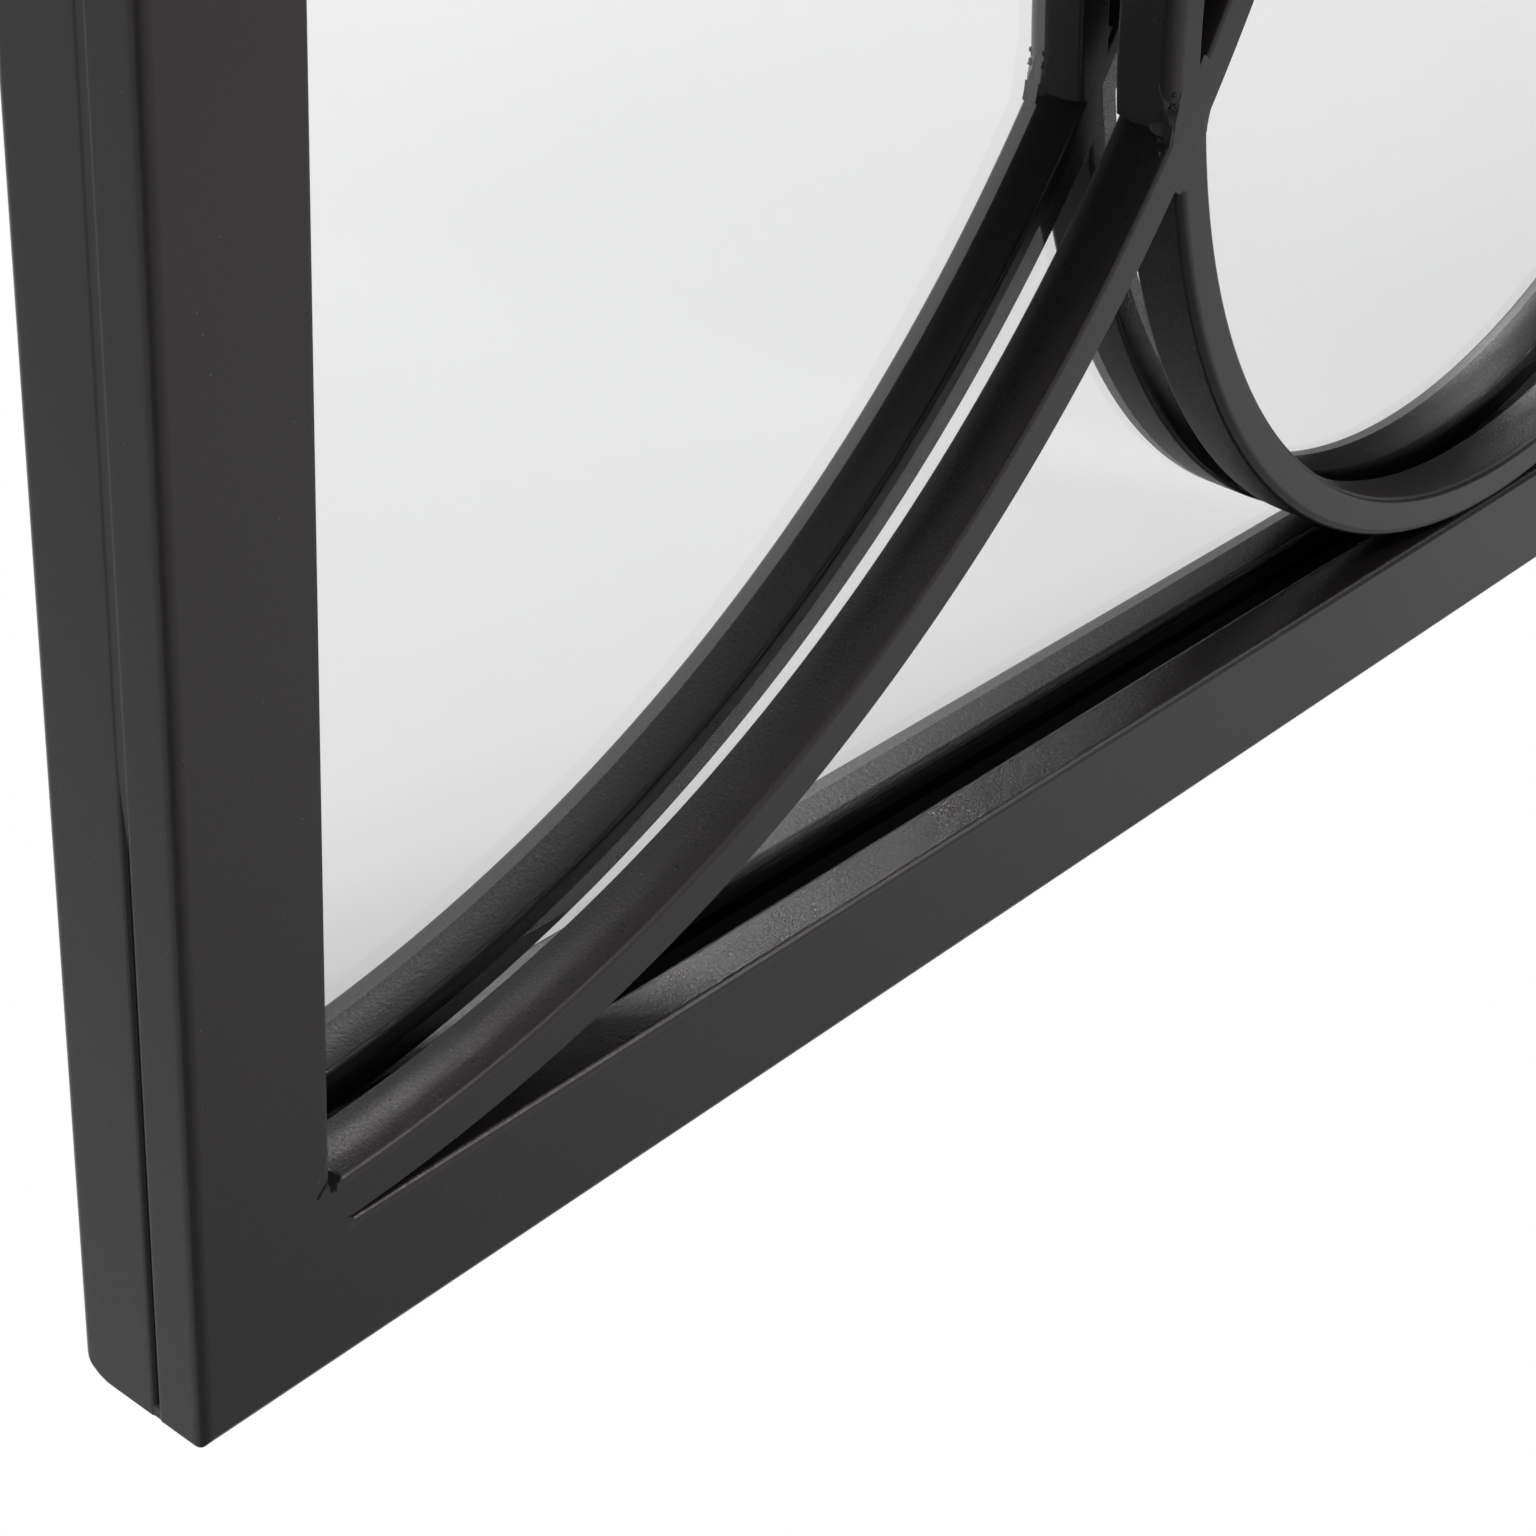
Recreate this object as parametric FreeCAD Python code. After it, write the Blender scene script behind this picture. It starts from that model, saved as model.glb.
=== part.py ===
import FreeCAD, Part
import math
import os

from FreeCAD import Vector

# Wall mirror: a welded steel frame of two tube layers, a grille of half circles and rings in front of the
# glass, a board behind it, and D-ring hangers on the back. Millimetres.
# The origin is the centre of the mirror on the wall plane. X is to the right, Y goes into the wall, Z is up.

# Overall
HEIGHT = 533.4
PROPORTION = 4 / 3
WIDTH = HEIGHT * PROPORTION

# Front frame tube
FACE = 25.0
FRONT_DEPTH = 10.0
FRONT_ROUND = 1.2
TUBE_WALL = 1.2
CORNER_GRIND = 1.0

# Back frame tube, which lies against the front one
BACK_FACE = 16.0
BACK_DEPTH = 16.0
BACK_ROUND = 2.0

# Welds in the groove where the rounded edges of the two frames meet
SEAM_WELD_INSET = 0.35
SEAM_WELD_ROOT = 1.1
SEAM_WELD_START = 96.0
SEAM_PLUG = 2.9

# Grille bars, flush with the front frame
BAR = 8.0
BAR_DEPTH = 11.5
BAR_ROUND = 0.8
ARC_CENTRE_INSET = 15.0
JOINT_GAP = 0.1
COPE_LAND = 0.4
BEAD_RADIUS = 2.4
BEAD_SET_BACK = 0.8
ARC_FILL_LENGTH = 4.3
RING_FILL_HALF = 14.0

# Glass, its strips and the board
BAR_TO_GLASS = 2.0
STRIP_WIDTH = 6.0
STRIP_SET_BACK = 1.5
GLASS_THICK = 3.2
GLASS_CLEARANCE = 1.0
BOARD_THICK = 2.5

# Board clips
CLIP_THICK = 1.0
CLIP_WIDTH = 14.0
CLIP_BOARD_LEG = 12.0
CLIP_BACK_INSET = 0.6
CLIP_PITCH = 190.0
RAIL_CLIPS = 3
STILE_CLIPS = 2

# Screws
SCREW_RADIUS = 1.5
SCREW_LENGTH = 9.0
SCREW_POINT = 2.0
SCREW_TIP_RADIUS = 0.25
HEAD_RADIUS = 2.3
HEAD_FLAT = 1.1
HEAD_EDGE = 0.6
HEAD_HEIGHT = 1.6
SCREW_CLEARANCE = 0.2
THREAD_SEAT = 0.02

# Wall bumpers
BUMPER_HEIGHT = 6.0
BUMPER_RADIUS = 5.25
BUMPER_TOP_RADIUS = 4.5
BUMPER_FROM_END = 60.0

# Hangers
HANGER_FROM_TOP = 110.0
STRAP_THICK = 1.0
STRAP_WIDTH = 8.0
STRAP_LEG = 34.0
STRAP_WEB_ANGLE = 53.0
RING_WIRE = 1.25
RING_PLAY = 0.05
RING_SIDE_PLAY = 0.2
RING_BEND = 2.0
RING_SIDE = 3.0
RING_REST_GAP = 0.2
HANGER_SCREW_FIRST = 18.0
HANGER_SCREW_PITCH = 10.0

# Places worked out from the sizes above
HALF_WIDTH = WIDTH / 2
HALF_HEIGHT = HEIGHT / 2
INNER_LEFT = -HALF_WIDTH + FACE
RAIL_TOP = -HALF_HEIGHT + FACE
BACK_Y = -BUMPER_HEIGHT
BACK_FRONT_Y = BACK_Y - BACK_DEPTH
FRONT_Y = BACK_FRONT_Y - FRONT_DEPTH
BAR_BACK_Y = FRONT_Y + BAR_DEPTH
GLASS_Y = max(BACK_FRONT_Y, BAR_BACK_Y) + BAR_TO_GLASS
BOARD_Y = GLASS_Y + GLASS_THICK
BOARD_BACK_Y = BOARD_Y + BOARD_THICK

ARC_RADIUS = HALF_HEIGHT - FACE - BAR / 2 - JOINT_GAP
ARC_X = -HALF_WIDTH + ARC_CENTRE_INSET
APEX_X = ARC_X + ARC_RADIUS
RING_RADIUS = (APEX_X ** 2 + ARC_RADIUS ** 2) / (2 * ARC_RADIUS)
RING_Z = RING_RADIUS - ARC_RADIUS

ALONG_X = Vector(1, 0, 0)
ALONG_Y = Vector(0, 1, 0)
ALONG_Z = Vector(0, 0, 1)
CENTRE = Vector(0, 0, 0)


def box(low, high):
    size = [b - a for a, b in zip(low, high)]
    return Part.makeBox(*size, Vector(*low))


def rounded_box(low, high, direction, radius):
    """A box whose edges along one direction are rounded."""
    solid = box(low, high)
    edges = []
    for edge in solid.Edges:
        tangent = edge.tangentAt(edge.FirstParameter)
        if abs(tangent.dot(direction)) > 0.99:
            edges.append(edge)
    return solid.makeFillet(radius, edges)


def flip_x(shape):
    return shape.mirror(CENTRE, ALONG_X)


def flip_z(shape):
    return shape.mirror(CENTRE, ALONG_Z)


def largest(shape):
    return max(shape.Solids, key=lambda solid: solid.Volume)


def prism(points, low_y, high_y):
    """A polygon given as (x, z) points, swept from low_y to high_y."""
    corners = [Vector(x, low_y, z) for x, z in points]
    face = Part.Face(Part.makePolygon(corners + corners[:1]))
    return face.extrude(Vector(0, high_y - low_y, 0))


# Frames


def frame_outline(face, low_y, high_y, radius):
    """Left stile and bottom rail of one layer as solid bars, mitred and ground round at the corner."""
    outer_left = -HALF_WIDTH
    inner_left = outer_left + face
    outer_low = -HALF_HEIGHT
    inner_low = outer_low + face
    stile = rounded_box((outer_left, low_y, outer_low), (inner_left, high_y, -outer_low), ALONG_Z, radius)
    rail = rounded_box((outer_left, low_y, outer_low), (-outer_left, high_y, inner_low), ALONG_X, radius)
    stile_mitre = prism([(outer_left, outer_low), (inner_left, inner_low),
                         (inner_left, -inner_low), (outer_left, -outer_low)], low_y, high_y)
    rail_mitre = prism([(outer_left, outer_low), (-outer_left, outer_low),
                        (-inner_left, inner_low), (inner_left, inner_low)], low_y, high_y)
    ground = rounded_box((outer_left, low_y, outer_low), (-outer_left, high_y, -outer_low), ALONG_Y, CORNER_GRIND)
    return stile.common(stile_mitre).common(ground), rail.common(rail_mitre).common(ground)


def hollow(stile, rail, face, low_y, high_y):
    """The same stile and rail as tubes."""
    wall = TUBE_WALL
    left = -HALF_WIDTH
    low = -HALF_HEIGHT
    stile_bore = box((left + wall, low_y + wall, low - wall), (left + face - wall, high_y - wall, wall - low))
    rail_bore = box((left - wall, low_y + wall, low + wall), (wall - left, high_y - wall, low + face - wall))
    return largest(stile.cut(stile_bore)), largest(rail.cut(rail_bore))


def seam_welds(outlines):
    """Weld in the groove between the layers: a long bead on each side and a plug round each corner."""
    low_y = BACK_FRONT_Y - FRONT_ROUND
    high_y = BACK_FRONT_Y + BACK_ROUND
    left = -HALF_WIDTH + SEAM_WELD_INSET
    low = -HALF_HEIGHT + SEAM_WELD_INSET
    left_root = -HALF_WIDTH + SEAM_WELD_ROOT
    low_root = -HALF_HEIGHT + SEAM_WELD_ROOT
    left_end = -HALF_WIDTH + SEAM_PLUG
    low_end = -HALF_HEIGHT + SEAM_PLUG
    side_start = -HALF_HEIGHT + SEAM_WELD_START
    base_start = -HALF_WIDTH + SEAM_WELD_START
    side = box((left, low_y, side_start), (left_root, high_y, -side_start)).cut(outlines)
    base = box((base_start, low_y, low), (-base_start, high_y, low_root)).cut(outlines)
    plug = prism([(left, low), (left_end, low), (left_end, low_root), (left_root, low_root),
                  (left_root, low_end), (left, low_end)], low_y, high_y).cut(outlines)
    welds = [side, flip_x(side), base, flip_z(base)]
    welds += [plug, flip_x(plug), flip_z(plug), flip_x(flip_z(plug))]
    return Part.makeCompound([largest(weld) for weld in welds])


# Grille


def bar_section(radius, grow):
    """Section of a bar with rounded edges, radius away from the circle's centre along X."""
    half = BAR / 2 + grow
    block = rounded_box((radius - half, FRONT_Y - grow, 0), (radius + half, BAR_BACK_Y + grow, BAR),
                        ALONG_Z, BAR_ROUND + grow)
    end = min(block.Faces, key=lambda face: face.CenterOfMass.z)
    return Part.Face(end.OuterWire)


def bar_run(centre_x, centre_z, radius, start, end, grow=0.0):
    """Flat bar bent to a circle, from one angle to another, in degrees up from +X."""
    section = bar_section(radius, grow)
    section.rotate(CENTRE, ALONG_Y, -start)
    solid = section.revolve(CENTRE, -ALONG_Y, end - start)
    solid.translate(Vector(centre_x, 0, centre_z))
    return solid


def bar_space(centre_x, centre_z, radius):
    """The full circle that a bar sweeps, with the weld gap round it."""
    return bar_run(centre_x, centre_z, radius, 0, 360, JOINT_GAP)


def bar_core(centre_x, centre_z, radius):
    """The middle of that circle, where a coped end stops short of a feather edge."""
    half = BAR / 2 - BAR_ROUND + COPE_LAND
    base = Vector(centre_x, FRONT_Y - BAR, centre_z)
    length = BAR_DEPTH + 2 * BAR
    outer = Part.makeCylinder(radius + half, length, base, ALONG_Y)
    inner = Part.makeCylinder(radius - half, length, base, ALONG_Y)
    return outer.cut(inner)


def angle_of(x, z):
    return math.degrees(math.atan2(z, x))


def half_circle_bar(stile):
    """Left half circle, its ends coped over the rounded inner edge of the left stile."""
    reach = 90 + angle_of(ARC_RADIUS, ARC_CENTRE_INSET)
    bar = bar_run(ARC_X, 0, ARC_RADIUS, -reach, reach)
    coped_left = INNER_LEFT - FRONT_ROUND + COPE_LAND
    room = box((coped_left, FRONT_Y, -HALF_HEIGHT), (HALF_WIDTH, BAR_BACK_Y, HALF_HEIGHT))
    return largest(bar.common(room).cut(stile))


def cross_point(arc_radius, ring_radius, upper):
    """Where a circle about the left half circle's centre meets one about the lower ring's centre."""
    between_x = -ARC_X
    between_z = RING_Z
    distance = math.hypot(between_x, between_z)
    along = (distance ** 2 + arc_radius ** 2 - ring_radius ** 2) / (2 * distance)
    aside = math.sqrt(arc_radius ** 2 - along ** 2)
    if not upper:
        aside = -aside
    x = ARC_X + (along * between_x - aside * between_z) / distance
    z = (along * between_z + aside * between_x) / distance
    return x, z


def ring_runs():
    """The lower ring in four runs: along the rail, between the crossings, and beside each half circle."""
    left_arc = [bar_space(ARC_X, 0, ARC_RADIUS), bar_core(ARC_X, 0, ARC_RADIUS)]
    right_arc = [flip_x(shape) for shape in left_arc]
    cross_x, cross_z = cross_point(ARC_RADIUS, RING_RADIUS, False)
    cross_angle = angle_of(-cross_x, cross_z - RING_Z)
    apex_angle = angle_of(-APEX_X, -RING_Z)
    spare = math.degrees(2 * BAR / RING_RADIUS)
    below = box((-HALF_WIDTH, FRONT_Y - BAR, -HALF_HEIGHT), (HALF_WIDTH, BACK_Y, -JOINT_GAP / 2))
    above = box((-HALF_WIDTH, FRONT_Y - BAR, JOINT_GAP / 2), (HALF_WIDTH, BACK_Y, HALF_HEIGHT))
    outer = bar_run(0, RING_Z, RING_RADIUS, -180 - cross_angle, cross_angle)
    inner = bar_run(0, RING_Z, RING_RADIUS, apex_angle - spare, 180 - apex_angle + spare)
    right = bar_run(0, RING_Z, RING_RADIUS, cross_angle, apex_angle + spare)
    outer = largest(outer.cut(left_arc + right_arc))
    inner = largest(inner.cut(left_arc + right_arc).common(above))
    right = largest(right.cut(right_arc).common(below))
    return outer, inner, flip_x(right), right


def bead(x, z, spaces):
    """Weld bead in the corner at x, z, between the bars."""
    start = Vector(x, FRONT_Y + BEAD_SET_BACK, z)
    solid = Part.makeCylinder(BEAD_RADIUS, BAR_DEPTH - 2 * BEAD_SET_BACK, start, ALONG_Y)
    return largest(solid.cut(spaces))


def arc_fill(stile, rail):
    """Weld ground flush with the front, in the groove between the rail and the half circle's end."""
    low = (INNER_LEFT - FRONT_ROUND + COPE_LAND, FRONT_Y, RAIL_TOP - FRONT_ROUND + COPE_LAND)
    high = (INNER_LEFT + ARC_FILL_LENGTH, BAR_BACK_Y - BAR_ROUND, RAIL_TOP + BAR_ROUND - COPE_LAND)
    return largest(box(low, high).cut([stile, rail, bar_space(ARC_X, 0, ARC_RADIUS)]))


def ring_fill():
    """Weld in the thin wedge right of where the ring touches the rail, behind their rounded edges."""
    outer = RING_RADIUS + BAR / 2
    end_z = RING_Z - math.sqrt(outer ** 2 - RING_FILL_HALF ** 2)
    slope = RING_FILL_HALF / (RING_Z - end_z)
    start_x = RING_FILL_HALF - (end_z - RAIL_TOP - JOINT_GAP) / slope
    corners = [(start_x, RAIL_TOP), (RING_FILL_HALF, RAIL_TOP), (RING_FILL_HALF, end_z),
               (start_x, RAIL_TOP + JOINT_GAP)]
    back_y = min(BACK_FRONT_Y, BAR_BACK_Y) - FRONT_ROUND
    return prism(corners, FRONT_Y + FRONT_ROUND, back_y)


def bar_welds(stile, rail):
    """Beads at the crossings and the apexes, and the fills where bars run into the rails."""
    arc = bar_space(ARC_X, 0, ARC_RADIUS)
    lower = bar_space(0, RING_Z, RING_RADIUS)
    upper = flip_z(lower)
    half = BAR / 2
    quarter = [arc_fill(stile, rail), ring_fill()]
    for arc_side in (-half, half):
        for ring_side in (-half, half):
            x, z = cross_point(ARC_RADIUS + arc_side, RING_RADIUS + ring_side, False)
            quarter.append(bead(x, z, [arc, lower]))
    for side in (-half, half):
        x, z = cross_point(ARC_RADIUS + side, RING_RADIUS + side, True)
        quarter.append(bead(x, z, [arc, lower, upper]))
    welds = []
    for solid in quarter:
        welds += [solid, flip_x(solid), flip_z(solid), flip_x(flip_z(solid))]
    for side in (-half, half):
        x = -math.sqrt((RING_RADIUS + side) ** 2 - RING_Z ** 2)
        notch = bead(x, 0, [arc, lower, upper])
        welds += [notch, flip_x(notch)]
    return Part.makeCompound(welds)


# Glass and board


def panel(low_y, thick):
    edge = BACK_FACE + GLASS_CLEARANCE
    return box((-HALF_WIDTH + edge, low_y, -HALF_HEIGHT + edge),
               (HALF_WIDTH - edge, low_y + thick, HALF_HEIGHT - edge))


def glazing_strips():
    """Left strip, full height, and bottom strip between the side ones, behind the front frame."""
    inner = FACE - STRIP_SET_BACK
    outer = inner - STRIP_WIDTH
    left = box((-HALF_WIDTH + outer, BACK_FRONT_Y, -HALF_HEIGHT + outer),
               (-HALF_WIDTH + inner, GLASS_Y, HALF_HEIGHT - outer))
    bottom = box((-HALF_WIDTH + inner, BACK_FRONT_Y, -HALF_HEIGHT + outer),
                 (HALF_WIDTH - inner, GLASS_Y, -HALF_HEIGHT + inner))
    return left, bottom


# Fasteners


def screw():
    """Pan-head screw on the Z axis, its head seated at z = 0 and its shank going down."""
    slant = math.sqrt(0.5)
    cap_low = Vector(HEAD_RADIUS, 0, HEAD_EDGE)
    cap_middle = Vector(HEAD_FLAT + (HEAD_RADIUS - HEAD_FLAT) * slant, 0,
                        HEAD_EDGE + (HEAD_HEIGHT - HEAD_EDGE) * slant)
    cap_high = Vector(HEAD_FLAT, 0, HEAD_HEIGHT)
    outline = [cap_high, Vector(0, 0, HEAD_HEIGHT), Vector(0, 0, -SCREW_LENGTH),
               Vector(SCREW_TIP_RADIUS, 0, -SCREW_LENGTH), Vector(SCREW_RADIUS, 0, SCREW_POINT - SCREW_LENGTH),
               Vector(SCREW_RADIUS, 0, 0), Vector(HEAD_RADIUS, 0, 0), cap_low]
    edges = [Part.makeLine(start, end) for start, end in zip(outline, outline[1:])]
    edges.append(Part.Arc(cap_low, cap_middle, cap_high).toShape())
    return Part.Face(Part.Wire(edges)).revolve(CENTRE, ALONG_Z, 360)


def hole(position, direction, clearance, length):
    """A round hole for a screw, both ways from a point on its axis."""
    start = position - direction * length
    return Part.makeCylinder(SCREW_RADIUS + clearance, 2 * length, start, direction)


def turned(shape, direction, position):
    """Turn a shape built on +Z to point along a direction, and place it."""
    copy = shape.copy()
    turn = FreeCAD.Rotation(ALONG_Z, direction)
    copy.Placement = FreeCAD.Placement(position, turn)
    return copy


# Board clips


def clip_places():
    """Each clip's foot on the tube's inner wall, with the direction away from the wall."""
    wall_x = HALF_WIDTH - BACK_FACE
    wall_z = HALF_HEIGHT - BACK_FACE
    places = []
    for index in range(RAIL_CLIPS):
        x = (index - (RAIL_CLIPS - 1) / 2) * CLIP_PITCH
        places.append((Vector(x, BOARD_BACK_Y, -wall_z), ALONG_Z))
        places.append((Vector(x, BOARD_BACK_Y, wall_z), -ALONG_Z))
    for index in range(STILE_CLIPS):
        z = (index - (STILE_CLIPS - 1) / 2) * CLIP_PITCH
        places.append((Vector(-wall_x, BOARD_BACK_Y, z), ALONG_X))
        places.append((Vector(wall_x, BOARD_BACK_Y, z), -ALONG_X))
    return places


CLIP_WALL_LEG = BACK_Y - CLIP_BACK_INSET - BOARD_BACK_Y
CLIP_SCREW_Y = (CLIP_THICK + CLIP_WALL_LEG) / 2


def clip():
    """Angle clip on the Z axis: one leg on the board, the other up the wall at z = 0, with a screw hole."""
    half = CLIP_WIDTH / 2
    board_leg = rounded_box((-half, 0, 0), (half, CLIP_THICK, CLIP_BOARD_LEG), ALONG_Y, CLIP_THICK)
    wall_leg = rounded_box((-half, 0, 0), (half, CLIP_WALL_LEG, CLIP_THICK), ALONG_Z, CLIP_THICK)
    square = box((-half, 0, 0), (half, CLIP_THICK, CLIP_THICK))
    shape = board_leg.fuse([wall_leg, square]).removeSplitter()
    return shape.cut(hole(Vector(0, CLIP_SCREW_Y, 0), ALONG_Z, SCREW_CLEARANCE, 2 * CLIP_THICK))


def clip_turn(direction):
    """Turn about Y that carries +Z to the direction off the wall."""
    degrees = math.degrees(math.atan2(direction.x, direction.z))
    return FreeCAD.Rotation(ALONG_Y, degrees)


def board_clips():
    clips = []
    for position, direction in clip_places():
        copy = clip()
        copy.Placement = FreeCAD.Placement(position, clip_turn(direction))
        clips.append(copy)
    return Part.makeCompound(clips)


def clip_screws():
    screws = []
    for position, direction in clip_places():
        seat = position + ALONG_Y * CLIP_SCREW_Y + direction * CLIP_THICK
        screws.append(turned(screw(), direction, seat))
    return Part.makeCompound(screws)


def clip_holes():
    holes = []
    for position, direction in clip_places():
        place = position + ALONG_Y * CLIP_SCREW_Y
        holes.append(hole(place, direction, THREAD_SEAT, 2 * TUBE_WALL))
    return holes


# Wall bumpers


def wall_bumpers():
    """A tapered rubber foot near each end of the back rails."""
    x = HALF_WIDTH - BUMPER_FROM_END
    z = HALF_HEIGHT - BACK_FACE / 2
    feet = []
    for side in (-1, 1):
        for end in (-1, 1):
            start = Vector(side * x, BACK_Y, end * z)
            foot = Part.makeCone(BUMPER_RADIUS, BUMPER_TOP_RADIUS, BUMPER_HEIGHT, start, ALONG_Y)
            feet.append(foot)
    return Part.makeCompound(feet)


# Hangers


EYE_RADIUS = RING_WIRE + RING_PLAY
EYE_OUTER = EYE_RADIUS + STRAP_THICK
EYE_X = HALF_WIDTH - BACK_FACE / 2
EYE_Y = BACK_Y + EYE_OUTER
EYE_Z = HALF_HEIGHT - HANGER_FROM_TOP
RING_HALF_BAR = STRAP_WIDTH / 2 + RING_SIDE_PLAY
RING_BOW = RING_HALF_BAR + RING_BEND
RING_REACH = RING_BEND + RING_SIDE + RING_BOW
RING_LIFT = 2 * STRAP_THICK + RING_WIRE + RING_REST_GAP - EYE_OUTER
RING_TILT = math.degrees(math.asin(RING_LIFT / RING_REACH))


def hanger_screw_places(eye_x):
    places = []
    for index in range(2):
        drop = HANGER_SCREW_FIRST + index * HANGER_SCREW_PITCH
        places.append(Vector(eye_x, BACK_Y, EYE_Z - drop))
    return places


def hanger_strap(eye_x):
    """Steel strip folded round the ring's bar, its two layers screwed to the stile below the eye."""
    left = eye_x - STRAP_WIDTH / 2
    right = eye_x + STRAP_WIDTH / 2
    tail = EYE_Z - STRAP_LEG
    start = Vector(left, EYE_Y, EYE_Z)
    eye = Part.makeCylinder(EYE_OUTER, STRAP_WIDTH, start, ALONG_X)
    base = box((left, BACK_Y, tail), (right, BACK_Y + STRAP_THICK, EYE_Z))
    fold_top = EYE_Z - EYE_OUTER - STRAP_THICK
    web_angle = math.radians(STRAP_WEB_ANGLE)
    web_y = EYE_Y + EYE_OUTER * math.cos(web_angle)
    web_z = EYE_Z - EYE_OUTER * math.sin(web_angle)
    cover = box((left, BACK_Y + STRAP_THICK, tail), (right, BACK_Y + 2 * STRAP_THICK, fold_top))
    slope = [Vector(left, BACK_Y + STRAP_THICK, fold_top), Vector(left, BACK_Y + 2 * STRAP_THICK, fold_top),
             Vector(left, web_y, web_z), Vector(left, EYE_Y, EYE_Z),
             Vector(left, BACK_Y + STRAP_THICK, EYE_Z)]
    web = Part.Face(Part.makePolygon(slope + slope[:1])).extrude(Vector(STRAP_WIDTH, 0, 0))
    shape = base.fuse([cover, web, eye]).removeSplitter()
    shape = shape.cut(Part.makeCylinder(EYE_RADIUS, STRAP_WIDTH, start, ALONG_X))
    for place in hanger_screw_places(eye_x):
        shape = shape.cut(hole(place, ALONG_Y, SCREW_CLEARANCE, 3 * STRAP_THICK))
    return shape


def hanger_ring(eye_x):
    """D-ring of round wire: a straight bar in the eye, two bends, two sides and a bow, hanging down."""
    bar = RING_HALF_BAR
    bend = RING_BEND
    bow = RING_BOW
    side_end = bend + RING_SIDE
    slant = bend * (1 - math.sqrt(0.5))
    right = [Vector(bar, 0, 0), Vector(bow - slant, 0, -slant), Vector(bow, 0, -bend), Vector(bow, 0, -side_end)]
    left = [Vector(-point.x, 0, point.z) for point in right]
    bottom = Vector(0, 0, -side_end - bow)
    edges = [Part.makeLine(left[0], right[0]), Part.Arc(right[0], right[1], right[2]).toShape(),
             Part.makeLine(right[2], right[3]), Part.Arc(right[3], bottom, left[3]).toShape(),
             Part.makeLine(left[3], left[2]), Part.Arc(left[2], left[1], left[0]).toShape()]
    path = Part.Wire(edges)
    section = Part.Wire([Part.makeCircle(RING_WIRE, left[0], ALONG_X)])
    ring = path.makePipeShell([section], True, False)
    ring.rotate(CENTRE, ALONG_X, RING_TILT)
    ring.translate(Vector(eye_x, EYE_Y, EYE_Z))
    return ring


def hanger_screws():
    screws = []
    for eye_x in (-EYE_X, EYE_X):
        for place in hanger_screw_places(eye_x):
            screws.append(turned(screw(), ALONG_Y, place + ALONG_Y * 2 * STRAP_THICK))
    return Part.makeCompound(screws)


def hanger_holes(eye_x):
    return [hole(place, ALONG_Y, THREAD_SEAT, 2 * TUBE_WALL) for place in hanger_screw_places(eye_x)]


def build():
    """All pieces by name."""
    front_outline = frame_outline(FACE, FRONT_Y, BACK_FRONT_Y, FRONT_ROUND)
    back_outline = frame_outline(BACK_FACE, BACK_FRONT_Y, BACK_Y, BACK_ROUND)
    front_stile, front_rail = hollow(*front_outline, FACE, FRONT_Y, BACK_FRONT_Y)
    back_stile, back_rail = hollow(*back_outline, BACK_FACE, BACK_FRONT_Y, BACK_Y)
    clip_bores = clip_holes()
    left_strip, bottom_strip = glazing_strips()
    half_circle = half_circle_bar(front_outline[0])
    outer, inner, left, right = ring_runs()
    return {
        "front_left_stile": front_stile,
        "front_right_stile": flip_x(front_stile),
        "front_bottom_rail": front_rail,
        "front_top_rail": flip_z(front_rail),
        "back_left_stile": back_stile.cut(clip_bores + hanger_holes(-EYE_X)),
        "back_right_stile": flip_x(back_stile).cut(clip_bores + hanger_holes(EYE_X)),
        "back_bottom_rail": back_rail.cut(clip_bores),
        "back_top_rail": flip_z(back_rail).cut(clip_bores),
        "seam_welds": seam_welds(front_outline + back_outline),
        "left_half_circle_bar": half_circle,
        "right_half_circle_bar": flip_x(half_circle),
        "lower_ring_rail_run": outer,
        "lower_ring_middle_run": inner,
        "lower_ring_left_run": left,
        "lower_ring_right_run": right,
        "upper_ring_rail_run": flip_z(outer),
        "upper_ring_middle_run": flip_z(inner),
        "upper_ring_left_run": flip_z(left),
        "upper_ring_right_run": flip_z(right),
        "bar_welds": bar_welds(*front_outline),
        "left_glazing_strip": left_strip,
        "right_glazing_strip": flip_x(left_strip),
        "bottom_glazing_strip": bottom_strip,
        "top_glazing_strip": flip_z(bottom_strip),
        "mirror_glass": panel(GLASS_Y, GLASS_THICK),
        "back_board": panel(BOARD_Y, BOARD_THICK),
        "board_clips": board_clips(),
        "clip_screws": clip_screws(),
        "wall_bumpers": wall_bumpers(),
        "left_hanger_strap": hanger_strap(-EYE_X),
        "right_hanger_strap": hanger_strap(EYE_X),
        "left_hanger_ring": hanger_ring(-EYE_X),
        "right_hanger_ring": hanger_ring(EYE_X),
        "hanger_screws": hanger_screws(),
    }


os.makedirs("parts", exist_ok=True)
for name, shape in build().items():
    shape.exportStep(os.path.join("parts", name + ".step"))
    print(name, len(shape.Solids), round(shape.Volume, 1), shape.isValid())
print("ring radius", round(RING_RADIUS, 2), "ring tilt", round(RING_TILT, 2), "front", FRONT_Y, "glass", GLASS_Y)
print("eye", round(EYE_X, 3), round(EYE_Y, 3), round(EYE_Z, 3), "arc radius", ARC_RADIUS)
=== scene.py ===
import math

import bmesh
import bpy
from mathutils import Matrix, Vector, noise


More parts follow.
